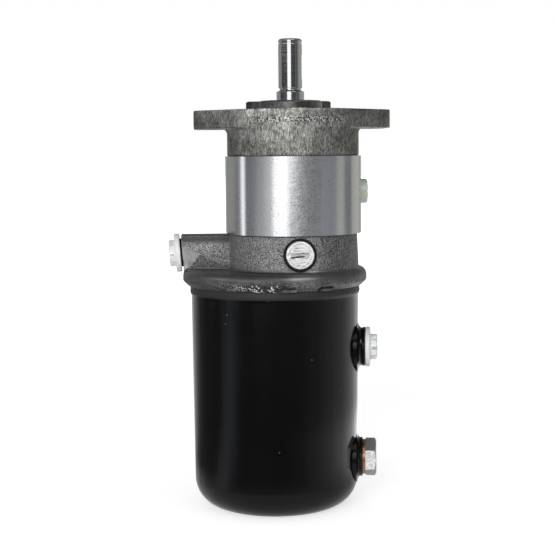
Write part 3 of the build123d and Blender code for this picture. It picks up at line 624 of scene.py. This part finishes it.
def paint_finish(name, colour, rough):
    """Gloss black paint on drawn steel: orange peel, dust, fine scuffs and a rougher shoulder under the rim, with a
    painted grey reflection band on it.
    """
    material, shader, place = new_finish(name, Specular_IOR_Level=0.25)
    skin = use_group("sand_cast", place, Grain=420.0)
    dust = use_group("dust_specks", place, Spacing=150.0, Size=0.045, Share=0.3)
    scuffs = use_group("drawn_streaks", place, Fineness=420.0, Length=30.0)
    base = blend_colour(skin["Mottle"], colour, shaded(colour, 1.5))
    base = blend_colour(times(dust["Mask"], 0.7), base, (0.3, 0.3, 0.29))
    # Painted reflection: a grey band under the rim, on a rougher shoulder.
    shoulder = ramp(parts_of(place)[2], RIM_Z - 5.6 * MM, RIM_Z - 4.6 * MM)
    base = blend_colour(times(shoulder, 0.9), base, (0.03, 0.03, 0.03))
    haze = ramp(scuffs["Shade"], 0.0, 1.0, rough, rough + 0.05)
    haze = plus(haze, times(shoulder, 0.3))
    roughness = plus(haze, times(dust["Mask"], 0.4))
    return complete(material, shader, base, roughness, skin["Height"], 0.008)


def plug_finish(name):
    """Turned plug head: scratched bright face, rubbed rim and a rougher slot, with painted shade in the slot's
    middle and painted shadow lines along its edges.
    """
    material, shader, here = new_finish(name, Metallic=0.55)
    vector = centred(here, RELIEF_FRAME)
    rings = use_group("turned_marks", vector, Fineness=2200.0)
    values = {"Vector": vector, "Rotation": Vector((0, 0, radians(32))), "Scale": Vector((0.22, 1.3, 1.0))}
    stroke = node(vector.id_data, "ShaderNodeMapping", values, vector_type="POINT")
    scratches = noise(stroke.outputs[0], 900.0, 3.0, 0.65)
    x, y, z = parts_of(vector)
    reach = radius(x, y)
    inner = ramp(reach, 7.2 * MM, 7.9 * MM, 1.0, 0.0)
    slot = ramp(z, PLUG_FACE - 0.5 * MM, PLUG_FACE - 0.8 * MM)
    across = along(vector, Vector((-sin(PLUG_TURN), cos(PLUG_TURN), 0)), Vector())
    left = times(ramp(x, -6.4 * MM, -5.4 * MM), ramp(x, 3.4 * MM, 2.2 * MM))
    right = times(ramp(x, -0.6 * MM, 0.6 * MM), ramp(x, 3.4 * MM, 2.6 * MM))
    # Painted shadow: dark lines along the slot's lower edge at the left and its upper edge at the right.
    lower = times(near_level(across, -1.05, 0.3, 0.46), left)
    upper_painted_shade = times(near_level(across, 1.0, 0.16, 0.32), right)
    lines = math("MAXIMUM", lower, times(upper_painted_shade, 0.85))
    marks = times(ramp(scratches, 0.53, 0.59), inner)
    base = blend_colour(rings["Shade"], (0.93, 0.95, 0.94), (1.0, 1.0, 1.0))
    base = blend_colour(times(marks, 0.9), base, (0.16, 0.17, 0.17))
    # The slot is rougher; its middle is darkened as painted shade, and its ends stay bright.
    core = ramp(reach, 5.4 * MM, 6.4 * MM, 1.0, 0.0)
    dull = times(slot, times(core, 0.5))
    base = blend_colour(dull, base, (0.2, 0.21, 0.21))
    # Painted shadow lines along the slot's edges.
    base = blend_colour(lines, base, (0.006, 0.006, 0.006))
    rough = plus(ramp(rings["Shade"], 0.0, 1.0, 0.22, 0.3), times(slot, 0.15))
    roughness = rough
    height = plus(times(rings["Height"], 0.3), times(scratches, 0.7))
    return complete(material, shader, base, roughness, height, 0.05)


def zinc_finish(name, colour):
    """Dull zinc plating, with one flat painted pale, scratched and matt, as a painted highlight."""
    material, shader, place = new_finish(name)
    skin = use_group("sand_cast", place, Grain=1300.0)
    scratches = noise(centred(place, DRAIN_FRAME), 700.0, 3.0, 0.65)
    # Painted highlight: the flat facing this side is coloured pale and made matt.
    painted_glint_side = Vector((-sin(PORT_TURN), -cos(PORT_TURN), 0))
    faces = along(normals(place), painted_glint_side, Vector())
    broken = times(minus(skin["Mottle"], 0.5), 0.06)
    wear_and_glint = ramp(plus(faces, broken), 0.9, 0.97)
    dull = blend_colour(skin["Mottle"], shaded(colour, 0.34), shaded(colour, 0.5))
    pale = blend_colour(ramp(scratches, 0.42, 0.6), (0.95, 0.96, 0.94), (0.62, 0.64, 0.62))
    base = blend_colour(wear_and_glint, dull, pale)
    link(ramp(wear_and_glint, 0.0, 1.0, 0.75, 0.12), shader.inputs["Metallic"])
    roughness = ramp(skin["Height"], 0.3, 0.7, 0.28, 0.42)
    return complete(material, shader, base, roughness, plus(skin["Height"], scratches), 0.03)


def black_finish(name, colour, rough, grain, depth, metallic=0.6):
    """Blackened steel or iron: grained, with bare specks and rubbed edges."""
    material, shader, place = new_finish(name, Metallic=metallic)
    base, skin = grained_base(place, shaded(colour, 0.6), colour, grain, 0.3)
    glints = use_group("dust_specks", place, Spacing=480.0, Size=0.16, Share=0.12)
    wear = use_group("edge_wear", place)
    base = blend_colour(times(glints["Mask"], 0.7), base, (0.5, 0.5, 0.49))
    base = blend_colour(times(wear["Mask"], 0.25), base, (0.4, 0.4, 0.39))
    roughness = ramp(skin["Mottle"], 0.0, 1.0, rough + 0.08, rough - 0.05)
    return complete(material, shader, base, roughness, skin["Height"], depth)


def paper_finish(name, colour):
    """Filter paper: fibre and oil stains."""
    material, shader, place = new_finish(name)
    skin = use_group("sand_cast", place, Grain=500.0)
    base = blend_colour(skin["Mottle"], shaded(colour, 0.7), colour)
    roughness = ramp(skin["Height"], 0.2, 0.8, 0.7, 0.95)
    return complete(material, shader, base, roughness, skin["Height"], 0.05)


# Settings


def tint(name, description, default):
    """Colour setting."""
    return FloatVectorProperty(name=name, description=description, subtype="COLOR", default=default)


def angle(name, description, degrees):
    """Angle setting whose default is given in degrees."""
    default = radians(degrees)
    return FloatProperty(name=name, description=description, default=default, subtype="ANGLE", unit="ROTATION")


class PumpSizes(bpy.types.PropertyGroup):
    """Sizes that a user would change."""

    voxel: FloatProperty(name="Casting detail", description="Mesh size of the castings, mm", default=0.7)
    machined_edge: FloatProperty(name="Machined edge", description="Edge break on machined parts, mm", default=0.25)
    moulded_edge: FloatProperty(name="Moulded edge", description="Edge radius of moulded parts, mm", default=0.35)
    camera_distance: FloatProperty(
        name="Camera distance", description="From the shaft axis", default=0.9, unit="LENGTH"
    )
    camera_side: FloatProperty(name="Camera side step", description="Sideways place", default=-0.0096, unit="LENGTH")
    camera_height: FloatProperty(name="Camera height", description="Above the mounting face", default=-0.027)
    camera_pitch: angle("Camera pitch", "Downwards", 5.4)
    camera_yaw: angle("Camera yaw", "To the object's right", 3.2)
    camera_roll: angle("Camera roll", "Clockwise lean", 0.48)
    focal_pixels: FloatProperty(name="Focal length", description="In pixels of the 555 pixel frame", default=1333.0)
    frame_pixels: IntProperty(name="Frame", description="Width of the picture in pixels", default=555)


class PumpColours(bpy.types.PropertyGroup):
    """Colours that a user would change."""

    iron_dark: tint("Flange dark", "Iron, dark", (0.2, 0.2, 0.187))
    iron_light: tint("Flange light", "Iron, light", (0.4, 0.4, 0.375))
    cover_dark: tint("Cover dark", "Cover, dark", (0.24, 0.24, 0.24))
    cover_light: tint("Cover light", "Cover, light", (0.29, 0.29, 0.29))
    pilot_black: tint("Pilot", "Blackened", (0.22, 0.22, 0.22))
    bolt_black: tint("Bolts", "Blackened", (0.05, 0.05, 0.05))
    aluminium: tint("Housing", "Aluminium", (0.74, 0.75, 0.765))
    can_black: tint("Can", "Gloss black", (0.0025, 0.0025, 0.0028))
    shaft_steel: tint("Shaft", "Ground steel", (0.62, 0.63, 0.64))
    cap_white: tint("Caps", "White plastic", (0.86, 0.88, 0.86))
    cap_milky: tint("Outlet cap", "Milky plastic", (0.62, 0.67, 0.58))
    zinc: tint("Zinc", "Plated steel", (0.8, 0.82, 0.8))
    copper: tint("Copper", "Washer", (0.5, 0.27, 0.18))


def sizes():
    """Current sizes."""
    return bpy.context.scene.pump_sizes


def colour(name):
    """Current colour as a plain tuple."""
    return tuple(getattr(bpy.context.scene.pump_colours, name))


# Pieces


def notch_blocks(size, spot):
    """Block at each notch, in a frame on the can's axis; size and spot in millimetres."""
    bm = bmesh.new()
    for turn in NOTCH_ANGLES:
        block = bmesh.ops.create_cube(bm, size=1.0)["verts"]
        bmesh.ops.scale(bm, vec=shaded(size, MM), verts=block)
        bmesh.ops.translate(bm, vec=shaded(spot, MM), verts=block)
        bmesh.ops.rotate(bm, cent=(0, 0, 0), matrix=Matrix.Rotation(radians(turn), 3, "Z"), verts=block)
    return bm


class PUMP_OT_flange(bpy.types.Operator):
    """Cast mounting flange with its machined pilot"""

    bl_idname = "pump.flange"
    bl_label = "Mounting flange"

    def execute(self, context):
        iron = flange_finish("flange_iron", colour("iron_dark"), colour("iron_light"))
        cast_copy("flange_casting", "mounting_flange", iron, sizes().voxel)
        black = black_finish("pilot_black", colour("pilot_black"), 0.24, 900.0, 0.02, 1.0)
        outline = [(15.04, 0.3), (15.04, 6.2), (15.4, 6.63), (20.2, 6.63), *arc((20.1, 6.43), 0.2, 90, 45, 2)]
        outline += [*arc((21.13, 5.45), 0.2, 45, 0, 2), (21.33, 0.25), (21.5, -0.2), (20.6, -0.2), (20.6, 0.3)]
        add_piece("pilot_turning", lathe(outline, 160), black, ["mounting_flange"])
        return {"FINISHED"}


class PUMP_OT_housing(bpy.types.Operator):
    """Extruded aluminium gear housing"""

    bl_idname = "pump.housing"
    bl_label = "Gear housing"

    def execute(self, context):
        bright = housing_finish("housing_aluminium", colour("aluminium"))
        dress("housing", "pump_body", bright, sizes().machined_edge)
        return {"FINISHED"}


class PUMP_OT_cover(bpy.types.Operator):
    """Sand-cast rear cover with the inlet boss and the reservoir flange"""

    bl_idname = "pump.cover"
    bl_label = "Rear cover"

    def execute(self, context):
        iron = cover_finish("cover_iron", colour("cover_dark"), colour("cover_light"))
        piece = cast_copy("cover_casting", "rear_cover", iron, sizes().voxel + COVER_COARSER)
        self.cut_notches(piece)
        floors = round_edges(notch_blocks(*NOTCH_FLOOR), PLAIN_EDGE)
        place = Matrix.Translation(RIM_CENTRE)
        add_piece("notch_floors", floors, iron, ["rear_cover"], place=place)
        return {"FINISHED"}

    def cut_notches(self, piece):
        """Cuts the two notches in the flange's lower lip again, with the sharp edges of a cutter."""
        bm = notch_blocks(*NOTCH_CUT)
        bmesh.ops.translate(bm, vec=RIM_CENTRE, verts=bm.verts)
        cutter = new_object("notch_cutter", bm)
        cut = piece.modifiers.new("notches", "BOOLEAN")
        cut.operation = "DIFFERENCE"
        cut.solver = "EXACT"
        cut.object = cutter
        apply_modifiers(piece)
        bpy.data.objects.remove(cutter)


def rolled_shoulder(bm):
    """Can whose bead is drawn out to a low shoulder that leans a little upwards."""
    for depth in SHOULDER_CUTS:
        bmesh.ops.bisect_plane(
            bm, geom=bm.verts[:] + bm.edges[:] + bm.faces[:], dist=1e-7,
            plane_co=(0, 0, RIM_Z - depth * MM), plane_no=(0, 0, 1),
        )
    wall = CAN_RADIUS - 0.6 * MM
    for vert in bm.verts:
        depth = (RIM_Z - vert.co.z) / MM
        flat = Vector((vert.co.x, vert.co.y, 0)) - CAN_AXIS
        if flat.length < wall or not -0.01 < depth < SHOULDER_END:
            continue
        for (above, first), (below, second) in zip(SHOULDER, SHOULDER[1:]):
            if depth <= below + 0.01:
                proud = first + (second - first) * max(0.0, depth - above) / (below - above)
                break
        else:
            proud = 0.0
        flat.length = CAN_RADIUS + proud * MM
        vert.co = CAN_AXIS + flat + Vector((0, 0, vert.co.z))
    return bm


class PUMP_OT_can(bpy.types.Operator):
    """Gloss black can and its two port collars"""

    bl_idname = "pump.can"
    bl_label = "Reservoir can"

    def execute(self, context):
        black = paint_finish("black_paint", colour("can_black"), 0.1)
        bm = round_edges(rolled_shoulder(cad_copy("reservoir_can")), PLAIN_EDGE)
        add_piece("can", bm, black, ["reservoir_can"])
        for name, source in (("return_collar", "return_port_collar"), ("drain_collar", "drain_port_collar")):
            dress(name, source, black, PLAIN_EDGE)
        return {"FINISHED"}


class PUMP_OT_shaft(bpy.types.Operator):
    """Ground drive shaft with its key slot"""

    bl_idname = "pump.shaft"
    bl_label = "Drive shaft"

    def execute(self, context):
        steel = colour("shaft_steel")
        ground = metal_finish("shaft_steel", steel, 0.1, "turned_marks", None, 3500.0, 0.0015, 0.06, 0.03)
        dress("shaft", "drive_shaft", ground, SHAFT_EDGE, body="drive")
        return {"FINISHED"}


class PUMP_OT_bolts(bpy.types.Operator):
    """Long bolts and their washers"""

    bl_idname = "pump.bolts"
    bl_label = "Bolts"

    def execute(self, context):
        black = black_finish("black_steel", colour("bolt_black"), 0.4, 1100.0, 0.05)
        dress("bolts", "body_bolts", black, BLACK_EDGE)
        dress("washers", "bolt_washers", black, BLACK_EDGE)
        return {"FINISHED"}


class PUMP_OT_relief(bpy.types.Operator):
    """Slotted relief plug"""

    bl_idname = "pump.relief"
    bl_label = "Relief plug"

    def execute(self, context):
        turned = plug_finish("plug_steel")
        dress("plug", "relief_plug", turned, PLAIN_EDGE)
        return {"FINISHED"}


class PUMP_OT_caps(bpy.types.Operator):
    """Moulded transport caps, the outlet one with a closed knob"""

    bl_idname = "pump.caps"
    bl_label = "Caps"

    def execute(self, context):
        white = plastic_finish("white_plastic", colour("cap_white"), 0.38, 0.25)
        milky = plastic_finish("milky_plastic", colour("cap_milky"), 0.35, 0.5)
        for name, source, finish, key in (
            ("cap_inlet", "inlet_cap", white, "white_plastic"),
            ("cap_return", "return_cap", white, "white_plastic"),
            ("cap_outlet", "outlet_cap", milky, "milky_plastic"),
        ):
            dress(name, source, finish, sizes().moulded_edge, 3)
        outline = [(KNOB_RECESS, 1.5), (KNOB_RADIUS, 1.5), (KNOB_RADIUS, 6.2)]
        outline += [*arc((7.25, 6.2), 0.7, 30, 90, 4), (KNOB_RECESS, 6.9)]
        knob = lathe(outline, 96)
        add_piece("cap_outlet_wall", knob, milky, ["outlet_cap"], place=OUTLET_FRAME)
        return {"FINISHED"}


class PUMP_OT_drain(bpy.types.Operator):
    """Drain plug and its copper washer"""

    bl_idname = "pump.drain"
    bl_label = "Drain plug"

    def execute(self, context):
        plated = zinc_finish("zinc_steel", colour("zinc"))
        red = metal_finish("copper", colour("copper"), 0.3, "turned_marks", DRAIN_FRAME, 1500.0, 0.01, 0.2)
        dress("drain_hexagon", "drain_plug", plated, PLAIN_EDGE)
        dress("drain_ring", "drain_washer", red, PLAIN_EDGE)
        return {"FINISHED"}


class PUMP_OT_inside(bpy.types.Operator):
    """Finishes of the parts inside, and of the seals"""

    bl_idname = "pump.inside"
    bl_label = "Inner parts"

    def execute(self, context):
        finishes = {
            "gear_steel": metal_finish("gear_steel", (0.45, 0.46, 0.47), 0.25, "turned_marks", fineness=1800.0),
            "block_aluminium": metal_finish("block_aluminium", (0.7, 0.71, 0.72), 0.35, "turned_marks"),
            "bush_bronze": metal_finish("bush_bronze", (0.6, 0.42, 0.2), 0.3, "turned_marks"),
            "seal_rubber": rubber_finish("seal_rubber", (0.006, 0.006, 0.006), 0.55),
            "spring_steel": metal_finish("spring_steel", (0.4, 0.41, 0.42), 0.3, "drawn_streaks"),
            "black_steel": bpy.data.materials["black_steel"],
            "plug_steel": bpy.data.materials["plug_steel"],
            "filter_paper": paper_finish("filter_paper", (0.55, 0.42, 0.24)),
            "zinc_steel": bpy.data.materials["zinc_steel"],
            "copper": bpy.data.materials["copper"],
        }
        for row in frame["record"]["subparts"]:
            shown = frame["nodes"][row["node"]]
            if shown.hide_render:
                continue
            shown.data.materials.clear()
            shown.data.materials.append(finishes[row["material_slot"]])
        return {"FINISHED"}


def glow_card(name, bm):
    """Studio card from a mesh, seen by reflections only; gives its tree and its glow."""
    card = new_object(name, bm)
    material = bpy.data.materials.new(name)
    material.use_nodes = True
    tree = material.node_tree
    tree.nodes.clear()
    glow = node(tree, "ShaderNodeEmission", {"Strength": 1.0})
    node(tree, "ShaderNodeOutputMaterial", {0: glow.outputs[0]})
    card.data.materials.append(material)
    card.visible_camera = False
    card.visible_diffuse = False
    card.visible_shadow = False
    card.visible_transmission = False
    return tree, glow


NEUTRAL = (1.0, 1.0, 1.0)
COOL = (0.95, 1.0, 1.06)
WARM = (1.02, 1.02, 0.94)


def around(angle, distance, height):
    """Spot round the pump; angle 0 is towards the camera and positive to its right."""
    turn = radians(angle) - sizes().camera_yaw
    return Vector((distance * sin(turn), -distance * cos(turn), height))


def sector(start, end, corners):
    """Strip swept round the pump between two angles, from its first edge's distances and heights."""
    bm = bmesh.new()
    verts = [bm.verts.new(around(start, distance, height)) for distance, height in corners]
    edges = [bm.edges.new(pair) for pair in zip(verts, verts[1:])]
    steps = max(1, round(abs(end - start) / 4))
    bmesh.ops.spin(
        bm, geom=verts + edges, cent=(0, 0, 0), axis=(0, 0, 1), angle=radians(end - start), steps=steps
    )
    return bm


def soft_box(name, angle, distance, height, width, tall, share):
    """Soft box turned to the pump; share is the light it gives to a surface that faces it."""
    lamp = bpy.data.lights.new(name, "AREA")
    lamp.shape = "RECTANGLE"
    lamp.size = width
    lamp.size_y = tall
    lamp.energy = share * (pi * distance) ** 2
    holder = bpy.data.objects.new(name, lamp)
    bpy.context.scene.collection.objects.link(holder)
    spot = around(angle, distance, height)
    target = Vector((0, 0, -0.08))
    holder.matrix_world = Matrix.Translation(spot) @ (spot - target).to_track_quat("Z", "Y").to_matrix().to_4x4()
    holder.visible_glossy = False


def seen_rays(tree):
    """1 for the rays that show the backdrop, 0 for those that only carry light."""
    path = node(tree, "ShaderNodeLightPath").outputs
    seen = plus(path["Is Camera Ray"], path["Is Glossy Ray"])
    return math("ADD", seen, path["Is Transmission Ray"], clamp=True)


# Light of the world on the pump, and the floor's own glow near it
WORLD_LIGHT = 0.36
FLOOR_LIFT = 0.62
# Cards: their distance, and the levels where one ends and the next begins, in metres
REACH = 1.6
EYE_LEVEL = 0.02
SHAFT_LEVEL = 0.26
TOP_LEVEL = 0.6
CROWN_LEVEL = 1.1
CLOTH_CENTRE = 0.62
RING_SCALE = 3.0
# Stops of each ring: angle, grey and, where it isn't neutral, tint
LOW_RING = (
    (-180, 0.6), (-168, 0.4), (-155, 0.26, WARM), (-140, 0.3, WARM), (-120, 0.29, WARM), (-112, 0.2, COOL),
    (-102, 0.24, COOL), (-99, 0.34), (-98, 1.35), (-89.5, 1.35), (-88.5, 0.17, COOL), (-70, 0.24, COOL),
    (-56, 0.38), (-44, 0.64), (-35, 0.8), (-34, 1.6), (-9, 1.6), (-7, 0.66), (12, 0.58), (20, 0.36), (26, 0.28),
    (60, 0.28, COOL), (74, 0.27, COOL), (79, 0.4, WARM), (90, 0.42, WARM), (93, 0.21, COOL), (109, 0.2, COOL),
    (118, 0.42, WARM), (138, 0.5, WARM), (148, 0.34, WARM),
)
HIGH_RING = (
    (-180, 0.34), (-100, 0.32), (-91, 0.2), (-88, 0.06, COOL), (-27, 0.05, COOL), (-26, 1.6), (6, 1.6),
    (7, 0.06, COOL), (47, 0.06, COOL), (50, 0.17), (56, 0.12), (70, 0.1), (86, 0.3), (100, 0.42, WARM),
    (180, 0.36, WARM),
)
TOP_RING = (
    (-180, 0.26), (-112, 0.14), (-92, 0.8), (-78, 2.4), (-50, 2.4), (-4, 2.4), (12, 1.2), (24, 0.3), (50, 0.14),
    (100, 0.1), (180, 0.26),
)
CLOTH_RING = (
    (-180, 0.8), (-150, 0.75), (-138, 0.5), (-122, 0.2), (-108, 0.11), (-84, 0.11), (-76, 0.16, COOL),
    (-68, 0.52, COOL), (-60, 0.7, COOL), (-53, 0.42, COOL), (-46, 0.15), (-38, 0.11), (25, 0.11), (50, 0.28),
    (80, 0.62), (104, 0.76), (119, 0.88), (138, 1.1), (180, 0.9),
)


class PUMP_OT_stage(bpy.types.Operator):
    """White studio with soft boxes, floor and camera"""

    bl_idname = "pump.stage"
    bl_label = "Studio"

    def execute(self, context):
        scene = context.scene
        scene.view_settings.view_transform = "Standard"
        self.make_world(scene)
        self.make_floor()
        self.make_lights()
        self.make_camera(scene)
        return {"FINISHED"}

    def make_world(self, scene):
        """White to the camera and in reflections, softer as a lamp."""
        world = bpy.data.worlds.new("studio")
        world.use_nodes = True
        tree = world.node_tree
        tree.nodes.clear()
        level = ramp(seen_rays(tree), 0.0, 1.0, WORLD_LIGHT, 1.0)
        glow = node(tree, "ShaderNodeBackground", {"Color": NEUTRAL, "Strength": level})
        node(tree, "ShaderNodeOutputWorld", {0: glow.outputs[0]})
        scene.world = world

    def make_floor(self):
        """Pale floor, white where the camera sees it lit, fading into the backdrop."""
        bm = bmesh.new()
        bmesh.ops.create_grid(bm, x_segments=1, y_segments=1, size=12.0)
        bmesh.ops.translate(bm, vec=(0, 0, cad_box[0].z), verts=bm.verts)
        floor = new_object("floor", bm)
        material, shader, place = new_finish("floor_white", Roughness=0.9, Specular_IOR_Level=0.1)
        feed(shader.inputs["Base Color"], (0.9, 0.9, 0.9))
        tree = material.node_tree
        reach = node(tree, "ShaderNodeVectorMath", {0: place}, operation="LENGTH").outputs["Value"]
        strength = times(seen_rays(tree), ramp(reach, 0.5, 1.6, FLOOR_LIFT, 1.0))
        lift = node(tree, "ShaderNodeEmission", {"Color": NEUTRAL, "Strength": strength})
        both = node(tree, "ShaderNodeAddShader", {0: shader.outputs[0], 1: lift.outputs[0]})
        link(both.outputs[0], tree.nodes["Material Output"].inputs[0])
        floor.data.materials.append(material)

    def make_lights(self):
        """Soft boxes for the light, and a ring of cards for the reflections."""
        soft_box("key_box", -14, 1.5, 0.16, 0.7, 0.9, 0.55)
        soft_box("fill_box", 42, 1.6, 0.2, 0.6, 0.8, 0.12)
        floor_z = cad_box[0].z
        cloth_z = floor_z + 1 * MM
        self.make_ring("low", LOW_RING, [(REACH, floor_z), (REACH, EYE_LEVEL)])
        self.make_ring("high", HIGH_RING, [(REACH, EYE_LEVEL), (REACH, SHAFT_LEVEL)])
        self.make_ring("top", TOP_RING, [(REACH, SHAFT_LEVEL), (REACH, TOP_LEVEL)])
        self.make_plain("crown", sector(-180, 180, [(REACH, TOP_LEVEL), (REACH, CROWN_LEVEL)]), 0.22)
        self.make_ring("cloth", CLOTH_RING, [(REACH, cloth_z), (0.02, cloth_z)], CLOTH_CENTRE)
        self.make_plain("ceiling", sector(-180, 180, [(REACH, CROWN_LEVEL), (0.01, 1.3)]), 0.16)
        self.make_plain("top_box", sector(-24, 8, [(1.3, 1.0), (0.55, 1.15)]), 1.0)
        self.make_plain("side_box", sector(14, 46, [(1.55, 0.55), (1.3, 1.08)]), 6.0)

    def make_ring(self, name, stops, corners, near=None):
        """Card all round the pump, blended between its stops; near is the grey below the pump."""
        tree, glow = glow_card(name, sector(-180, 180, corners))
        x, y, _ = parts_of(node(tree, "ShaderNodeTexCoord").outputs["Object"])
        angle = math("ARCTAN2", x, times(y, -1.0))
        turn = plus(math("DIVIDE", angle, 2 * pi), 0.5 + sizes().camera_yaw / (2 * pi))
        shade = node(tree, "ShaderNodeValToRGB", {0: math("FRACT", turn)})
        points = shade.color_ramp.elements
        for number, (at, grey, *own) in enumerate(stops):
            point = points[number] if number < 2 else points.new(1.0)
            point.position = at / 360 + 0.5
            point.color = (*shaded(own[0] if own else NEUTRAL, grey / RING_SCALE), 1.0)
        shown = shade.outputs[0]
        if near is not None:
            reach = radius(x, y)
            lift = times(ramp(reach, 0.4, 0.2), ramp(x, 0.0, 0.1))
            lift = ramp(lift, 0.0, 1.0, 1.0, 2.0)
            shown = scaled(shown, lift)
            grey = near / RING_SCALE
            shown = blend_colour(ramp(reach, 0.17, 0.09), shown, (grey, grey, grey))
        link(shown, glow.inputs["Color"])
        glow.inputs["Strength"].default_value = RING_SCALE

    def make_plain(self, name, bm, grey):
        """Card of one grey."""
        _, glow = glow_card(name, bm)
        glow.inputs["Color"].default_value = (grey, grey, grey, 1.0)

    def make_camera(self, scene):
        """Camera at the photograph's place."""
        size = sizes()
        lens = bpy.data.cameras.new("camera")
        lens.sensor_width = 36.0
        lens.lens = size.focal_pixels * lens.sensor_width / size.frame_pixels
        lens.clip_start = 0.05
        lens.clip_end = 60.0
        camera = bpy.data.objects.new("camera", lens)
        scene.collection.objects.link(camera)
        forward = Vector((sin(size.camera_yaw), cos(size.camera_yaw), 0))
        right = Vector((cos(size.camera_yaw), -sin(size.camera_yaw), 0))
        spot = -size.camera_distance * forward + size.camera_side * right
        spot.z = size.camera_height
        look = forward * cos(size.camera_pitch) - Vector((0, 0, sin(size.camera_pitch)))
        up = right.cross(look)
        rolled_right = right * cos(size.camera_roll) - up * sin(size.camera_roll)
        rolled_up = up * cos(size.camera_roll) + right * sin(size.camera_roll)
        axes = Matrix((rolled_right, rolled_up, -look)).transposed().to_4x4()
        camera.matrix_world = Matrix.Translation(spot) @ axes
        scene.camera = camera


OPERATORS = (
    PUMP_OT_flange, PUMP_OT_housing, PUMP_OT_cover, PUMP_OT_can, PUMP_OT_shaft, PUMP_OT_bolts,
    PUMP_OT_relief, PUMP_OT_caps, PUMP_OT_drain, PUMP_OT_inside, PUMP_OT_stage,
)


class PUMP_PT_panel(bpy.types.Panel):
    """Sizes, colours and pieces of the pump"""

    bl_label = "Power steering pump"
    bl_idname = "PUMP_PT_panel"
    bl_space_type = "VIEW_3D"
    bl_region_type = "UI"
    bl_category = "Pump"

    def draw(self, context):
        """Lists the settings and one button for each operator."""
        for group in (context.scene.pump_sizes, context.scene.pump_colours):
            box = self.layout.box()
            for key in group.bl_rna.properties.keys():
                if key not in ("rna_type", "name"):
                    box.prop(group, key)
        for operator in OPERATORS:
            self.layout.operator(operator.bl_idname)


CLASSES = (PumpSizes, PumpColours, *OPERATORS, PUMP_PT_panel)


def register():
    """Adds the classes and the settings to Blender."""
    for item in CLASSES:
        bpy.utils.register_class(item)
    bpy.types.Scene.pump_sizes = PointerProperty(type=PumpSizes)
    bpy.types.Scene.pump_colours = PointerProperty(type=PumpColours)


def unregister():
    """Takes them out again."""
    del bpy.types.Scene.pump_colours
    del bpy.types.Scene.pump_sizes
    for item in reversed(CLASSES):
        bpy.utils.unregister_class(item)


def main():
    """Builds every piece and the stage."""
    register()
    for operator in OPERATORS:
        group, name = operator.bl_idname.split(".")
        getattr(getattr(bpy.ops, group), name)()


if __name__ == "__main__":
    main()
